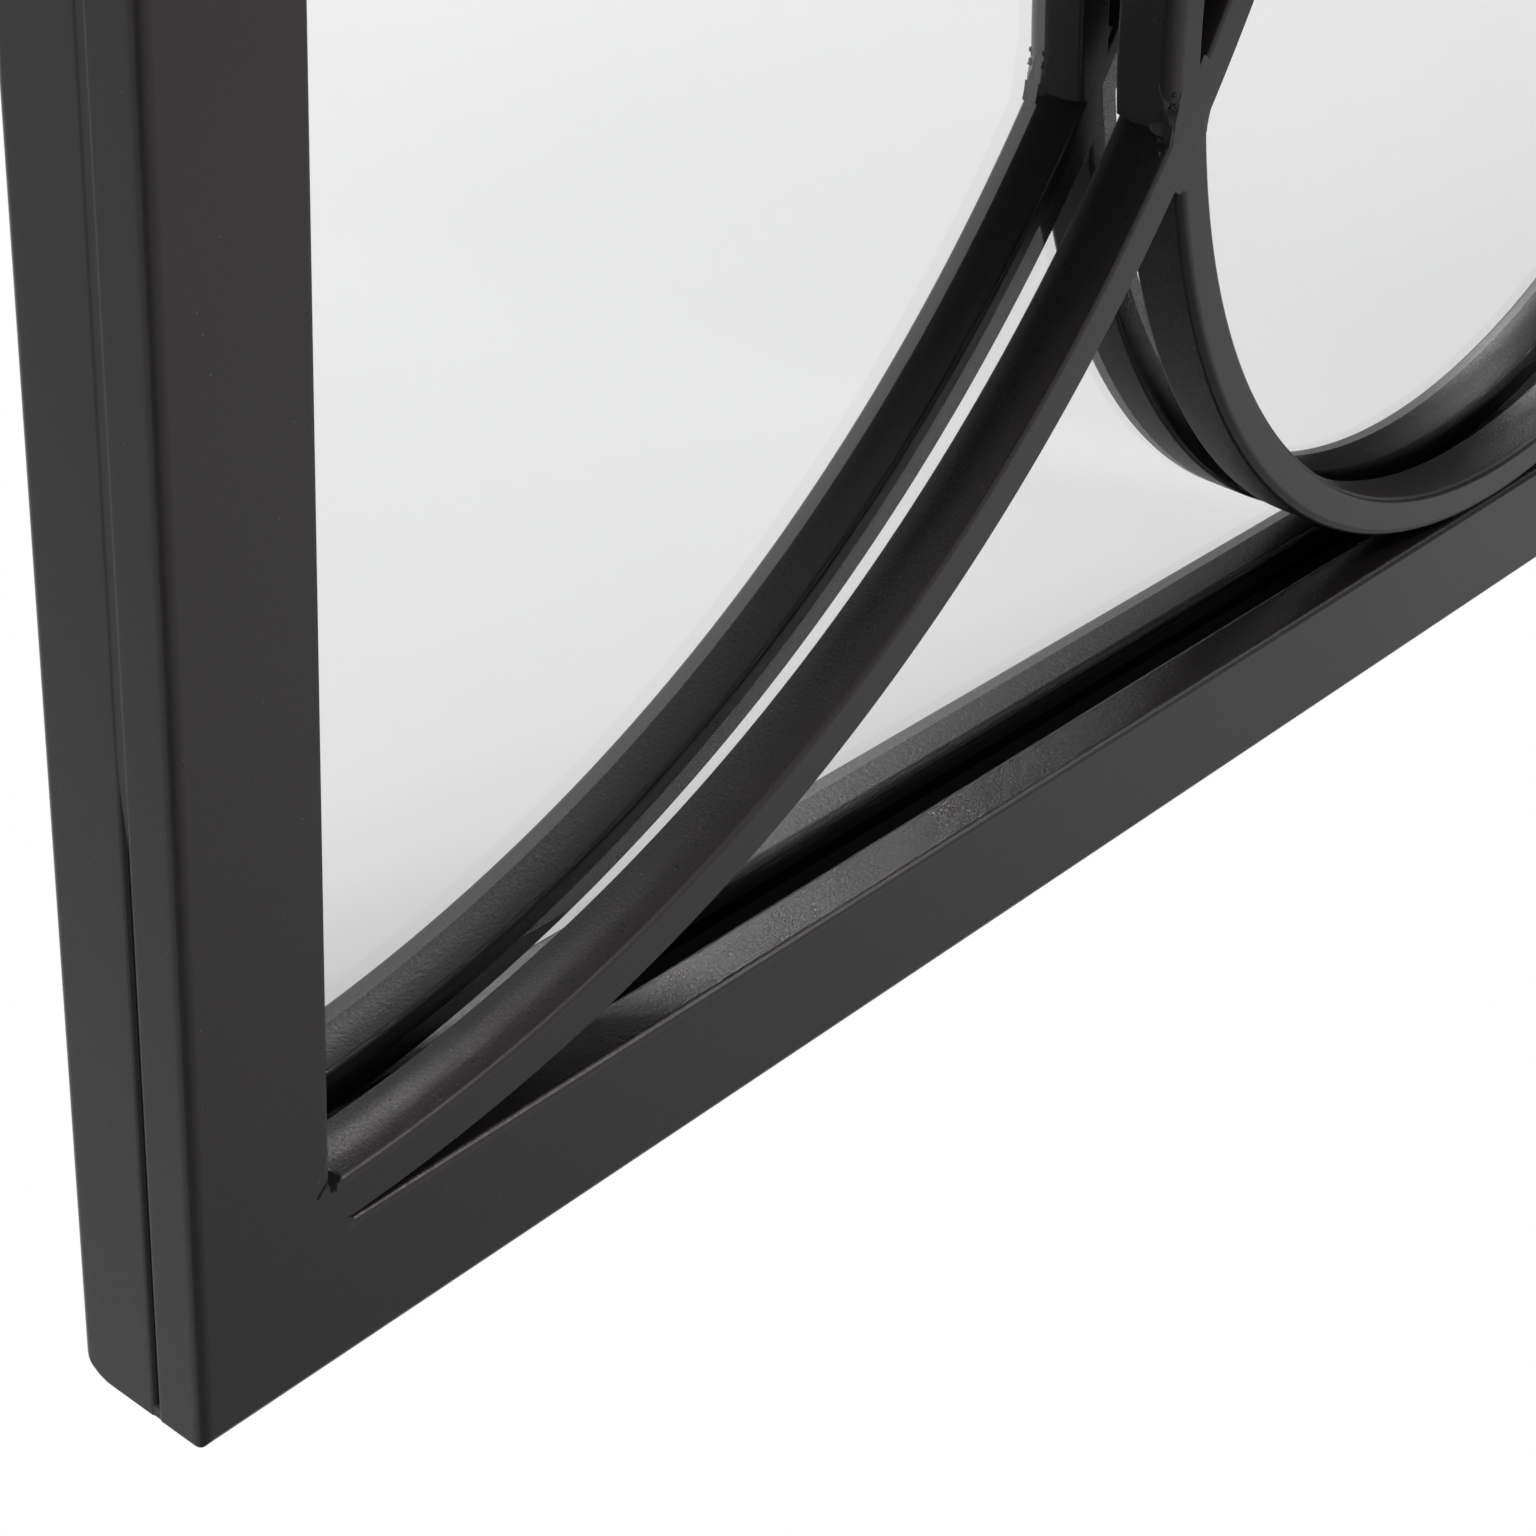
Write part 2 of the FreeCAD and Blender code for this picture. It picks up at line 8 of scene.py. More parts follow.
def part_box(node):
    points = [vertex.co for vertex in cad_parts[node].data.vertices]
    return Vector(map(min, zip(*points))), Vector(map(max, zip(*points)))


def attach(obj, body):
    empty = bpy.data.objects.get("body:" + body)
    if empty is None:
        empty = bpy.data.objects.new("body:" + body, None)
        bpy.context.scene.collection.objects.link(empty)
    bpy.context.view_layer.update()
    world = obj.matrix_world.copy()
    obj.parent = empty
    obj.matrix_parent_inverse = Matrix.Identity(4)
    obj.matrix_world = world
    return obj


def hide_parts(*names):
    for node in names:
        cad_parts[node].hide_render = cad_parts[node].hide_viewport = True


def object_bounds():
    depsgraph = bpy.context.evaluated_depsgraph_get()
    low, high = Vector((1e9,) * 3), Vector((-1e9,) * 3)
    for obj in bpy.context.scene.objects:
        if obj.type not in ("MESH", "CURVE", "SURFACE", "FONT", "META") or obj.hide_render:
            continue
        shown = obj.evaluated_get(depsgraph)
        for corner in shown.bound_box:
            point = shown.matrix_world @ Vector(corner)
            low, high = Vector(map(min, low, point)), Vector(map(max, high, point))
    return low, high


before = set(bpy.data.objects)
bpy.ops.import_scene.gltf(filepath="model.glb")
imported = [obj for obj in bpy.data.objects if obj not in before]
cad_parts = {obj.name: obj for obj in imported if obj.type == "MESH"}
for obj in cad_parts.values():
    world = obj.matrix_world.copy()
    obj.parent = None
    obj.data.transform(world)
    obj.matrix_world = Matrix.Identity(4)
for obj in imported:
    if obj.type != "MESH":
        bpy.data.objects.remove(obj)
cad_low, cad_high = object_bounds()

# Looks of the wall mirror. Metres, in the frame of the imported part: X right, Y into the wall, Z up.
# Fine meshes stand for the tubes, bars, welds, glass and screws; the other nodes keep their own shape.

MM = 0.001

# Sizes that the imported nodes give
STILE_LOW, STILE_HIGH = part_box("front_left_stile")
BACK_LOW, BACK_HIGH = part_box("back_left_stile")
GLASS_LOW, GLASS_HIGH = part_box("mirror_glass")
HALF_WIDTH = cad_high.x
HALF_HEIGHT = cad_high.z
FACE = STILE_HIGH.x - STILE_LOW.x
BACK_FACE = BACK_HIGH.x - BACK_LOW.x
FRONT_Y = STILE_LOW.y
SEAM_Y = STILE_HIGH.y
BACK_Y = BACK_HIGH.y
BAR_BACK_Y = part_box("left_half_circle_bar")[1].y

# Angles above which an edge stays sharp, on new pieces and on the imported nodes
SHARP_ANGLE = math.radians(40)
NODE_SHARP_ANGLE = math.radians(32)

# Sizes of the tubes' edges
OUTER_ROUND = 2.0 * MM
INNER_ROUND = 1.3 * MM
SEAM_ROUND = 1.2 * MM
CORNER_GRIND = 0.5 * MM
BACK_GRIND = 4.5 * MM
BACK_GRIND_DEPTH = 6.0 * MM
FILM = 0.02 * MM
TUBE_ROUND_STEPS = 8

# Sizes of the bars: edges, the bulge of their inner faces, and the shift and cut of the rings' side runs
BAR = 8.0 * MM
BAR_DEPTH = BAR_BACK_Y - FRONT_Y
BAR_ROUND = 0.8 * MM
INNER_FRONT_ROUND = 1.0 * MM
RING_ROUND = 1.8 * MM
RUN_ROUND = 3.0 * MM
BAR_ROUND_STEPS = 7
BAR_STEP = math.radians(0.6)
CROWN = 0.8 * MM
CROWN_ABOVE = 0.6 * MM
RUN_SHIFT = 2.2 * MM
RUN_BULGE = 4.6 * MM
TIP_WIDTH = 1.8 * MM
TIP_CUT = 2.6 * MM
JOINT_GAP = 0.1 * MM
ARC_CENTRE_INSET = 15.0 * MM

# Sizes of the welds between the frame's layers
SEAM_REACH = 1.9 * MM
SEAM_INSET = 0.04 * MM
SEAM_HOLLOW = 0.1 * MM
SEAM_ROOT = 2.6 * MM
SEAM_WELD_START = 110.0 * MM
SEAM_WELD_FADE = 26.0 * MM
SEAM_END_SINK = 1.7 * MM
SEAM_PLUG = 3.2 * MM
PLUG_END_SINK = 1.6 * MM

# Sizes of the welds of the bars. Flush ones that overlap start at depths of their own, a little apart.
WELD_SPAN = (0.12 * MM, BAR_DEPTH - 0.5 * MM)
WELD_ROOT = 0.6 * MM
LEG_WAVE = 0.35
SWELL = 0.3
SWELL_WAVE = 0.22
TIP_WELD_END = 5.0 * MM
SET_BACK = 0.45 * MM
FILL_HALF = 1.3 * MM
FILL_FRONT = 0.012 * MM
COVER_FRONT = 0.01 * MM
COVER_LAP = 3.2 * MM
COVER_SIDE = 0.3 * MM
COVER_DEPTH = 0.5 * MM
COVER_WAVE = 0.3 * MM
COVER_LEAST = 0.05 * MM
ARC_FILL_LENGTH = 4.2 * MM
ARC_FILL_DEPTH = 6.0 * MM
ARC_FILL_NARROWS = 0.55
ARC_FILL_TIP = (0.1 * MM, 0.25 * MM)
RING_FILL_START = 4.0 * MM
RING_FILL_HALF = 14.0 * MM
RING_FILL_SPAN = (1.6 * MM, 9.4 * MM)

# Sizes of the screws
SCREW_RADIUS = 1.5 * MM
SCREW_CORE = 1.15 * MM
SCREW_TIP = 0.25 * MM
SCREW_POINT = 2.0 * MM
THREAD_START = 2.2 * MM
THREAD_END = 2.5 * MM
THREAD_PITCH = 0.9 * MM
HEAD_RADIUS = 2.3 * MM
HEAD_EDGE = 0.6 * MM
HEAD_HEIGHT = 1.6 * MM
HEAD_MIDDLE = 0.03 * MM
CROSS_REACH = 1.45 * MM
CROSS_HALF = 0.36 * MM
CROSS_WALL = 0.12 * MM
CROSS_DEPTH = 0.9 * MM
SAME_PLACE = 0.001 * MM

# The crack at the half circles' ends, painted near black as the shade in the gap: places in from the
# frame's sides and from its bottom or top.
# The pit beside it, painted near black as the shade in the hollow: in from the sides, behind the front, and
# in from the bottom or top.
CRACK_START = (24.9 * MM, 35.2 * MM)
CRACK_END = (22.4 * MM, 32.8 * MM)
CRACK_EDGE = (0.15 * MM, 0.5 * MM)
CRACK_SHAKE = 0.6 * MM
PIT_PLACE = (25.8 * MM, 1.1 * MM, 33.2 * MM)
PIT_EDGE = (1.2 * MM, 1.6 * MM)
PIT_SHAKE = 2.0 * MM

# Circles of the grille
INNER_LEFT = -HALF_WIDTH + FACE
RAIL_TOP = -HALF_HEIGHT + FACE
ARC_RADIUS = HALF_HEIGHT - FACE - BAR / 2 - JOINT_GAP
ARC_X = -HALF_WIDTH + ARC_CENTRE_INSET
APEX_X = ARC_X + ARC_RADIUS
RING_RADIUS = (APEX_X ** 2 + ARC_RADIUS ** 2) / (2 * ARC_RADIUS)
RING_Z = RING_RADIUS - ARC_RADIUS


# Meshes


def finished(name, mesh, material, body):
    """Put a mesh in the scene as a piece with smooth curved faces, riding on a body."""
    for polygon in mesh.polygons:
        polygon.use_smooth = True
    mesh.set_sharp_from_angle(angle=SHARP_ANGLE)
    piece = bpy.data.objects.new(name, mesh)
    bpy.context.scene.collection.objects.link(piece)
    mesh.materials.append(material)
    keep_flat = piece.modifiers.new("flat_faces", "WEIGHTED_NORMAL")
    keep_flat.keep_sharp = True
    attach(piece, body)
    return piece


def loops_mesh(name, shells):
    """Closed skins, each over a row of loops of points, with a cap on each end."""
    shape = bmesh.new()
    for loops in shells:
        rows = [[shape.verts.new(point) for point in loop] for loop in loops]
        count = len(rows[0])
        for first, second in zip(rows, rows[1:]):
            for index in range(count):
                after = (index + 1) % count
                shape.faces.new((first[index], first[after], second[after], second[index]))
        shape.faces.new(rows[0])
        shape.faces.new(rows[-1])
    bmesh.ops.recalc_face_normals(shape, faces=shape.faces)
    mesh = bpy.data.meshes.new(name)
    shape.to_mesh(mesh)
    shape.free()
    return mesh


def rounded_section(width, depth, radii, steps):
    """Points (across, deep) round a rectangle with rounded edges.

    The radii are those of the front edge at 0, the front edge at the width, and the back edges behind the
    second and the first.
    """
    places = [(0, 0, 1, 1, 180), (width, 0, -1, 1, 270),
              (width, depth, -1, -1, 0), (0, depth, 1, -1, 90)]
    points = []
    for radius, (across, deep, to_middle, to_depth, start) in zip(radii, places):
        for step in range(steps + 1):
            angle = math.radians(start + 90 * step / steps)
            points.append((across + to_middle * radius + radius * math.cos(angle),
                           deep + to_depth * radius + radius * math.sin(angle)))
    return points


# Frame tubes


def corner_rows(inset, grind, steps):
    """Places from the mitre to the straight side.

    Each is how far from the corner along the piece, and how far in from its outer side.
    """
    radius = max(grind - inset, 0.0) + FILM
    middle = inset + radius
    places = []
    for step in range(steps + 1):
        angle = math.radians(45 * (1 - step / steps))
        places.append((middle - radius * math.sin(angle), middle - radius * math.cos(angle)))
    return places


def grind_at(place_y):
    """How far the corner is ground round: more at its back edge."""
    share = max(0.0, 1 - (BACK_Y - place_y) / BACK_GRIND_DEPTH)
    return CORNER_GRIND + (BACK_GRIND - CORNER_GRIND) * share ** 2


def tube(node, face, low_y, high_y, radii, material, upright, sign):
    """One mitred tube of the frame. Sign -1 is the left or bottom one, and 1 the right or top one."""
    depth = high_y - low_y
    section = rounded_section(face, depth, radii, TUBE_ROUND_STEPS)
    rows = 8
    start = depth - radii[3]
    section += [(0.0, start + (radii[0] - start) * row / rows) for row in range(1, rows)]
    steps = 6
    half = HALF_HEIGHT if upright else HALF_WIDTH
    side = HALF_WIDTH if upright else HALF_HEIGHT
    ends = [corner_rows(inset, grind_at(low_y + deep), steps) for inset, deep in section]
    loops = []
    for end_sign in (-1, 1):
        order = range(steps + 1) if end_sign < 0 else range(steps, -1, -1)
        for step in order:
            loop = []
            for (inset, deep), places in zip(section, ends):
                from_corner, in_from_side = places[step]
                along = end_sign * (half - from_corner)
                across = sign * (side - in_from_side)
                place = (across, low_y + deep, along) if upright else (along, low_y + deep, across)
                loop.append(place)
            loops.append(loop)
    piece = finished(node + "_tube", loops_mesh(node, [loops]), material, "mirror")
    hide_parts(node)


# Welds of the seam


def seam_loop(x, z, inward_x, inward_z, sink):
    """Section of the weld between the layers, at a place on the frame's outline, sunk inward."""
    steps = 5
    points = []
    for step in range(-steps, steps + 1):
        share = step / steps
        inset = SEAM_INSET + SEAM_HOLLOW * (1 - share ** 2) + sink
        points.append((inset, share * SEAM_REACH))
    points.append((SEAM_ROOT + sink, 0.0))
    return [(x + inset * inward_x, SEAM_Y + aside, z + inset * inward_z) for inset, aside in points]


def long_seam(upright):
    """Weld along the left stile or the bottom rail, sinking away toward its ends."""
    half = (HALF_HEIGHT if upright else HALF_WIDTH) - SEAM_WELD_START
    steps = 120
    loops = []
    for step in range(steps + 1):
        along = -half - SEAM_WELD_FADE + 2 * (half + SEAM_WELD_FADE) * step / steps
        past = max(0.0, abs(along) - half) / SEAM_WELD_FADE
        sink = SEAM_END_SINK * past ** 2
        if upright:
            loops.append(seam_loop(-HALF_WIDTH, along, 1, 0, sink))
        else:
            loops.append(seam_loop(along, -HALF_HEIGHT, 0, 1, sink))
    return loops


def corner_seam():
    """Short weld round the lower left corner."""
    places = []
    steps = 8
    straight = SEAM_PLUG - CORNER_GRIND
    for step in range(steps):
        share = step / steps
        sink = PLUG_END_SINK * max(0.0, 1 - 3 * share)
        places.append((0.0, SEAM_PLUG - straight * share, 1.0, 0.0, sink))
    for step in range(steps + 1):
        angle = math.radians(90 * step / steps)
        places.append((CORNER_GRIND * (1 - math.cos(angle)), CORNER_GRIND * (1 - math.sin(angle)),
                       math.cos(angle), math.sin(angle), 0.0))
    after = [(z, x, inward_z, inward_x, sink) for x, z, inward_x, inward_z, sink in places[:steps]]
    places += after[::-1]
    return [seam_loop(-HALF_WIDTH + x, -HALF_HEIGHT + z, inward_x, inward_z, sink)
            for x, z, inward_x, inward_z, sink in places]


def seam_welds(material):
    """The welds between the front and back frames as one piece."""
    side = long_seam(True)
    base = long_seam(False)
    corner = corner_seam()
    shells = [side, flipped(side, True, False), base, flipped(base, False, True)]
    for across in (False, True):
        for up in (False, True):
            shells.append(flipped(corner, across, up))
    mesh = loops_mesh("seam_weld_metal", shells)
    piece = finished("seam_weld_metal", mesh, material, "mirror")
    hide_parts("seam_welds")


# Grille bars


def arc_point(centre, radius, angle, deep):
    """Place on a circle, at a depth behind the front."""
    return (centre[0] + radius * math.cos(angle), FRONT_Y + deep, centre[1] + radius * math.sin(angle))


def no_shift(share):
    """A run that keeps to its circle."""
    return 0.0


def run_shift(share):
    """How far a ring's side run lies outside its circle, from the middle height (0) to the crossing (1)."""
    return RUN_SHIFT * share + RUN_BULGE * share * (1 - share)


def no_cut(across, deep):
    """An end that reaches all the way."""
    return 0.0


def tip_cut(across, deep):
    """How far a side run's pointed end stops short of the half circle: most at its outer back edge."""
    return TIP_CUT * max(0.0, 1 - (BAR - across) / TIP_WIDTH) * deep / BAR_DEPTH


def bar_section(edges):
    """Points (across, deep) round a bar, from its inner side, which bulges as bending leaves it."""
    section = rounded_section(BAR, BAR_DEPTH, edges, BAR_ROUND_STEPS)
    steps = 10
    (last_across, last_deep), (first_across, first_deep) = section[-1], section[0]
    between = []
    for step in range(1, steps):
        share = step / steps
        between.append((last_across + (first_across - last_across) * share,
                        last_deep + (first_deep - last_deep) * share))
    outer = len(section) * 3 // 4
    outline = section[:outer] + [(BAR - TIP_WIDTH, BAR_DEPTH)] + section[outer:] + between
    bulged = []
    for across, deep in outline:
        to_edge = (2 * deep / BAR_DEPTH - 1) ** 2
        bulged.append((across + (CROWN * to_edge - CROWN_ABOVE) * (1 - across / BAR), deep))
    return bulged


def bar_loops(centre, radius, start, end, edges, shift=no_shift, cut=no_cut):
    """Loops of a bar bent round a centre. Start and end give the angle for each section radius."""
    section = bar_section(edges)
    radii = [radius - BAR / 2 + across for across, deep in section]
    count = max(6, int(abs(end(radius) - start(radius)) / BAR_STEP))
    loops = []
    for index in range(count + 1):
        share = index / count
        loop = []
        for (across, deep), plain in zip(section, radii):
            own = plain + shift(share)
            last = end(own) - cut(across, deep) / own
            angle = start(own) + (last - start(own)) * share
            loop.append(arc_point(centre, own, angle, deep))
        loops.append(loop)
    return loops


def flipped(loops, flip_x, flip_z):
    """Loops on the other side, the other end, or both."""
    across = -1 if flip_x else 1
    up = -1 if flip_z else 1
    return [[(across * x, y, up * z) for x, y, z in loop] for loop in loops]


def meeting_angle(own, arc_radius, upper):
    """Angle about the lower ring's centre where its circle of radius own meets the left half circle's."""
    between_x = ARC_X
    between_z = -RING_Z
    distance = math.hypot(between_x, between_z)
    along = (distance ** 2 + own ** 2 - arc_radius ** 2) / (2 * distance)
    aside = math.sqrt(own ** 2 - along ** 2)
    if upper:
        aside = -aside
    x = (along * between_x - aside * between_z) / distance
    z = (along * between_z + aside * between_x) / distance
    return math.atan2(z, x) % (2 * math.pi)


def level_angle(own):
    """Angle on the left where the lower ring's circle of radius own crosses the mirror's middle height."""
    return math.pi - math.asin(-RING_Z / own)


def bar_piece(node, loops, material):
    """One bar of the grille in place of its node."""
    piece = finished(node + "_bar", loops_mesh(node, [loops]), material, "mirror")
    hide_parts(node)


def grille(material):
    """The half circles, which end on the stiles, and the rings' runs, which end on the half circles."""
    tangent = BAR / 2 - BAR_ROUND
    stile_flat = INNER_LEFT - INNER_ROUND

    def arc_end(own):
        return math.acos((stile_flat - ARC_X) / own)

    def arc_start(own):
        return -arc_end(own)

    arc_edges = [INNER_FRONT_ROUND, BAR_ROUND, BAR_ROUND, BAR_ROUND]
    half_circle = bar_loops((ARC_X, 0), ARC_RADIUS, arc_start, arc_end, arc_edges)
    bar_piece("left_half_circle_bar", half_circle, material)
    bar_piece("right_half_circle_bar", flipped(half_circle, True, False), material)

    outside = ARC_RADIUS + tangent
    inside = ARC_RADIUS - tangent

    def rail_start(own):
        return meeting_angle(own, outside, False)

    def rail_end(own):
        return 3 * math.pi - rail_start(own)

    def left_start(own):
        return max(meeting_angle(own, inside, True), level_angle(own))

    def left_end(own):
        return meeting_angle(own, inside, False)

    def middle_end(own):
        return min(meeting_angle(own, outside, True), level_angle(own))

    def middle_start(own):
        return math.pi - middle_end(own)

    centre = (0, RING_Z)
    edges = [INNER_FRONT_ROUND, RING_ROUND, BAR_ROUND, BAR_ROUND]
    run_edges = [INNER_FRONT_ROUND, RUN_ROUND, BAR_ROUND, BAR_ROUND]
    rail_run = bar_loops(centre, RING_RADIUS, rail_start, rail_end, edges)
    left_run = bar_loops(centre, RING_RADIUS, left_start, left_end, run_edges, run_shift, tip_cut)
    middle_run = bar_loops(centre, RING_RADIUS, middle_start, middle_end, edges)
    for level, up in (("lower", False), ("upper", True)):
        bar_piece(level + "_ring_rail_run", flipped(rail_run, False, up), material)
        bar_piece(level + "_ring_middle_run", flipped(middle_run, False, up), material)
        bar_piece(level + "_ring_left_run", flipped(left_run, False, up), material)
        bar_piece(level + "_ring_right_run", flipped(left_run, True, up), material)


# Welds of the grille


def ring_place(own, angle):
    """Place on the lower ring's circle of radius own."""
    return own * math.cos(angle), RING_Z + own * math.sin(angle)


def away(tangent, centre, corner, outwards):
    """The tangent, turned to lead away from a centre, or toward it."""
    leaving = tangent[0] * (corner[0] - centre[0]) + tangent[1] * (corner[1] - centre[1])
    sign = 1 if (leaving > 0) == outwards else -1
    return sign * tangent[0], sign * tangent[1]


def fillet(corner, first, second, legs, span, seed):
    """Loops of a rough weld in a corner, with a leg along each of two directions, over a span of depth.

    The multiples of the seed only give each weld noise of its own.
    """
    rows = 26
    steps = 6
    deep_start, deep_end = span
    loops = []
    for row in range(rows + 1):
        share = row / rows
        deep = deep_start + (deep_end - deep_start) * share
        taper = math.sin(math.pi / 2 * min(1.0, 0.06 + 4 * (1 - share)))
        reach = []
        for side, leg in enumerate(legs):
            wave = noise.noise(Vector((deep / MM * 0.45, seed * 3.1, side * 7.7)))
            reach.append(leg * taper * (1 + LEG_WAVE * wave))
        swell = SWELL + SWELL_WAVE * noise.noise(Vector((deep / MM * 0.8, seed * 5.3, 21.0)))
        loop = []
        for step in range(steps + 1):
            turned = step / steps
            one = reach[0] * (1 - turned) * (1 - turned + 2 * turned * swell)
            two = reach[1] * turned * (turned + 2 * (1 - turned) * swell)
            x = corner[0] + one * first[0] + two * second[0]
            z = corner[1] + one * first[1] + two * second[1]
            loop.append((x, FRONT_Y + deep, z))
        loop.append((corner[0] - WELD_ROOT * (first[0] + second[0]), FRONT_Y + deep,
                     corner[1] - WELD_ROOT * (first[1] + second[1])))
        loops.append(loop)
    return loops


def crossing_corner(arc_side, ring_side, upper):
    """A corner where the lower ring crosses the left half circle, and both bars' directions from it."""
    own = RING_RADIUS + ring_side
    if arc_side < 0 and not upper:
        own += RUN_SHIFT
    angle = meeting_angle(own, ARC_RADIUS + arc_side, upper)
    corner = ring_place(own, angle)
    along_ring = away((-math.sin(angle), math.cos(angle)), (ARC_X, 0), corner, arc_side > 0)
    arc_angle = math.atan2(corner[1], corner[0] - ARC_X)
    along_arc = away((-math.sin(arc_angle), math.cos(arc_angle)), (0, RING_Z), corner, ring_side > 0)
    return corner, along_arc, along_ring


def corner_weld(arc_side, ring_side, upper, legs, span, seed):
    """Weld in one corner of a crossing."""
    corner, along_arc, along_ring = crossing_corner(arc_side, ring_side, upper)
    return fillet(corner, along_arc, along_ring, legs, span, seed)


def edge_cover(arc_side, edge, length, end_share, seed):
    """Weld that fills the ring's round outer front edge beside the half circle, and runs out along it."""
    corner, along_arc, along_ring = crossing_corner(arc_side, BAR / 2, False)
    inward = Vector((-corner[0], RING_Z - corner[1])).normalized()
    back = edge + COVER_DEPTH
    rows = 20
    loops = []
    for row in range(rows + 1):
        along = -COVER_LAP + (length + COVER_LAP) * row / rows
        share = max(0.0, along / length)
        wave = COVER_WAVE * noise.noise(Vector((row * 0.9, seed * 3.7, 4.0)))
        bare = max(COVER_LEAST, edge * end_share * share + wave)
        section = [(edge + COVER_SIDE, COVER_FRONT), (bare, COVER_FRONT), (0.0, bare), (COVER_SIDE, back),
                   (edge + COVER_SIDE, back)]
        loops.append([(corner[0] + along * along_ring[0] + inset * inward.x, FRONT_Y + deep,
                       corner[1] + along * along_ring[1] + inset * inward.y) for inset, deep in section])
    return loops


def flush_fill(side, before, after):
    """Weld ground flush with the front along the half circle's side, from before to after the ring."""
    own = ARC_RADIUS + side
    angles = []
    for ring_side in (BAR / 2, -BAR / 2):
        corner = crossing_corner(side, ring_side, False)[0]
        angles.append(math.atan2(corner[1], corner[0] - ARC_X))
    start = angles[0] - before / own
    end = angles[1] + after / own
    back = WELD_SPAN[1]
    section = [(-FILL_HALF, FILL_FRONT), (FILL_HALF, FILL_FRONT), (FILL_HALF, back), (-FILL_HALF, back)]
    steps = 16
    loops = []
    for step in range(steps + 1):
        angle = start + (end - start) * step / steps
        loops.append([arc_point((ARC_X, 0), own + across, angle, deep) for across, deep in section])
    return loops


def lump(x, deep, z, radius, seed):
    """Loops of a small rough blob of weld metal."""
    rings = 10
    count = 16
    loops = []
    for ring in range(rings):
        tilt = math.pi * (ring + 0.5) / rings
        loop = []
        for index in range(count):
            turn = 2 * math.pi * index / count
            way = Vector((math.sin(tilt) * math.cos(turn), math.cos(tilt), math.sin(tilt) * math.sin(turn)))
            own = radius * (1 + 0.75 * noise.noise(way * 2.1 + Vector((seed * 4.7, 0, 0))))
            loop.append((x + own * way.x, max(FRONT_Y + deep + own * way.y, FRONT_Y), z + own * way.z))
        loops.append(loop)
    return loops


def crossing_lumps():
    """Lumps on the ring's round front edge above the crossing, and on the half circle's side below it."""
    corner, along_arc, along_ring = crossing_corner(-BAR / 2, BAR / 2, False)
    inward = Vector((-corner[0], RING_Z - corner[1])).normalized()
    # Each lump: how far along the bar, in from its edge and behind the front it lies, and its radius, in mm
    places = [(2.6, 1.2, 0.9, 0.85), (5.0, 1.3, 1.0, 0.9), (7.2, 1.5, 1.1, 0.75), (9.4, 1.7, 1.1, 0.5)]
    shells = []
    for seed, (along, inset, deep, radius) in enumerate(places):
        x = corner[0] + along * MM * along_ring[0] + inset * MM * inward.x
        z = corner[1] + along * MM * along_ring[1] + inset * MM * inward.y
        shells.append(lump(x, deep * MM, z, radius * MM, seed))
    below = [(0.6, 2.2, 0.8), (2.9, 1.5, 0.5)]
    for seed, (along, deep, radius) in enumerate(below):
        x = corner[0] + along * MM * along_arc[0]
        z = corner[1] + along * MM * along_arc[1]
        shells.append(lump(x, deep * MM, z, radius * MM, seed + 11))
    return shells


def notch_weld(side, leg, seed):
    """Weld where the two rings meet at the middle height, beside the left half circle."""
    own = RING_RADIUS + side
    angle = level_angle(own)
    corner = ring_place(own, angle)
    along = away((-math.sin(angle), math.cos(angle)), (0, 0), corner, side > 0)
    return fillet(corner, along, (along[0], -along[1]), (leg, leg), WELD_SPAN, seed)


def arc_fill():
    """Weld ground flush in the groove between the half circle's end and the rail."""
    flat = ARC_RADIUS + BAR / 2 - BAR_ROUND
    start = INNER_LEFT - INNER_ROUND
    end = INNER_LEFT + ARC_FILL_LENGTH
    steps = 12
    rail_flat = RAIL_TOP - INNER_ROUND
    tip_low, tip_high = [RAIL_TOP + above for above in ARC_FILL_TIP]
    lower = []
    upper = []
    for step in range(steps + 1):
        x = start + (end - start) * step / steps
        bar_z = -math.sqrt(flat ** 2 - (x - ARC_X) ** 2)
        narrowed = max(0.0, (step / steps - ARC_FILL_NARROWS) / (1 - ARC_FILL_NARROWS)) ** 2
        lower.append((x, rail_flat + (tip_low - rail_flat) * narrowed))
        upper.append((x, bar_z + (tip_high - bar_z) * narrowed))
    outline = lower + upper[::-1]
    return [[(x, FRONT_Y + deep, z) for x, z in outline] for deep in (0.0, ARC_FILL_DEPTH)]


def ring_fill():
    """Weld in the wedge beside the place where the ring touches the rail."""
    outer = RING_RADIUS + BAR / 2
    ends = (RING_FILL_START, RING_FILL_HALF)
    below = [(x, RAIL_TOP) for x in ends]
    above = [(x, RING_Z - math.sqrt(outer ** 2 - x ** 2)) for x in ends]
    outline = below + above[::-1]
    return [[(x, FRONT_Y + deep, z) for x, z in outline] for deep in RING_FILL_SPAN]


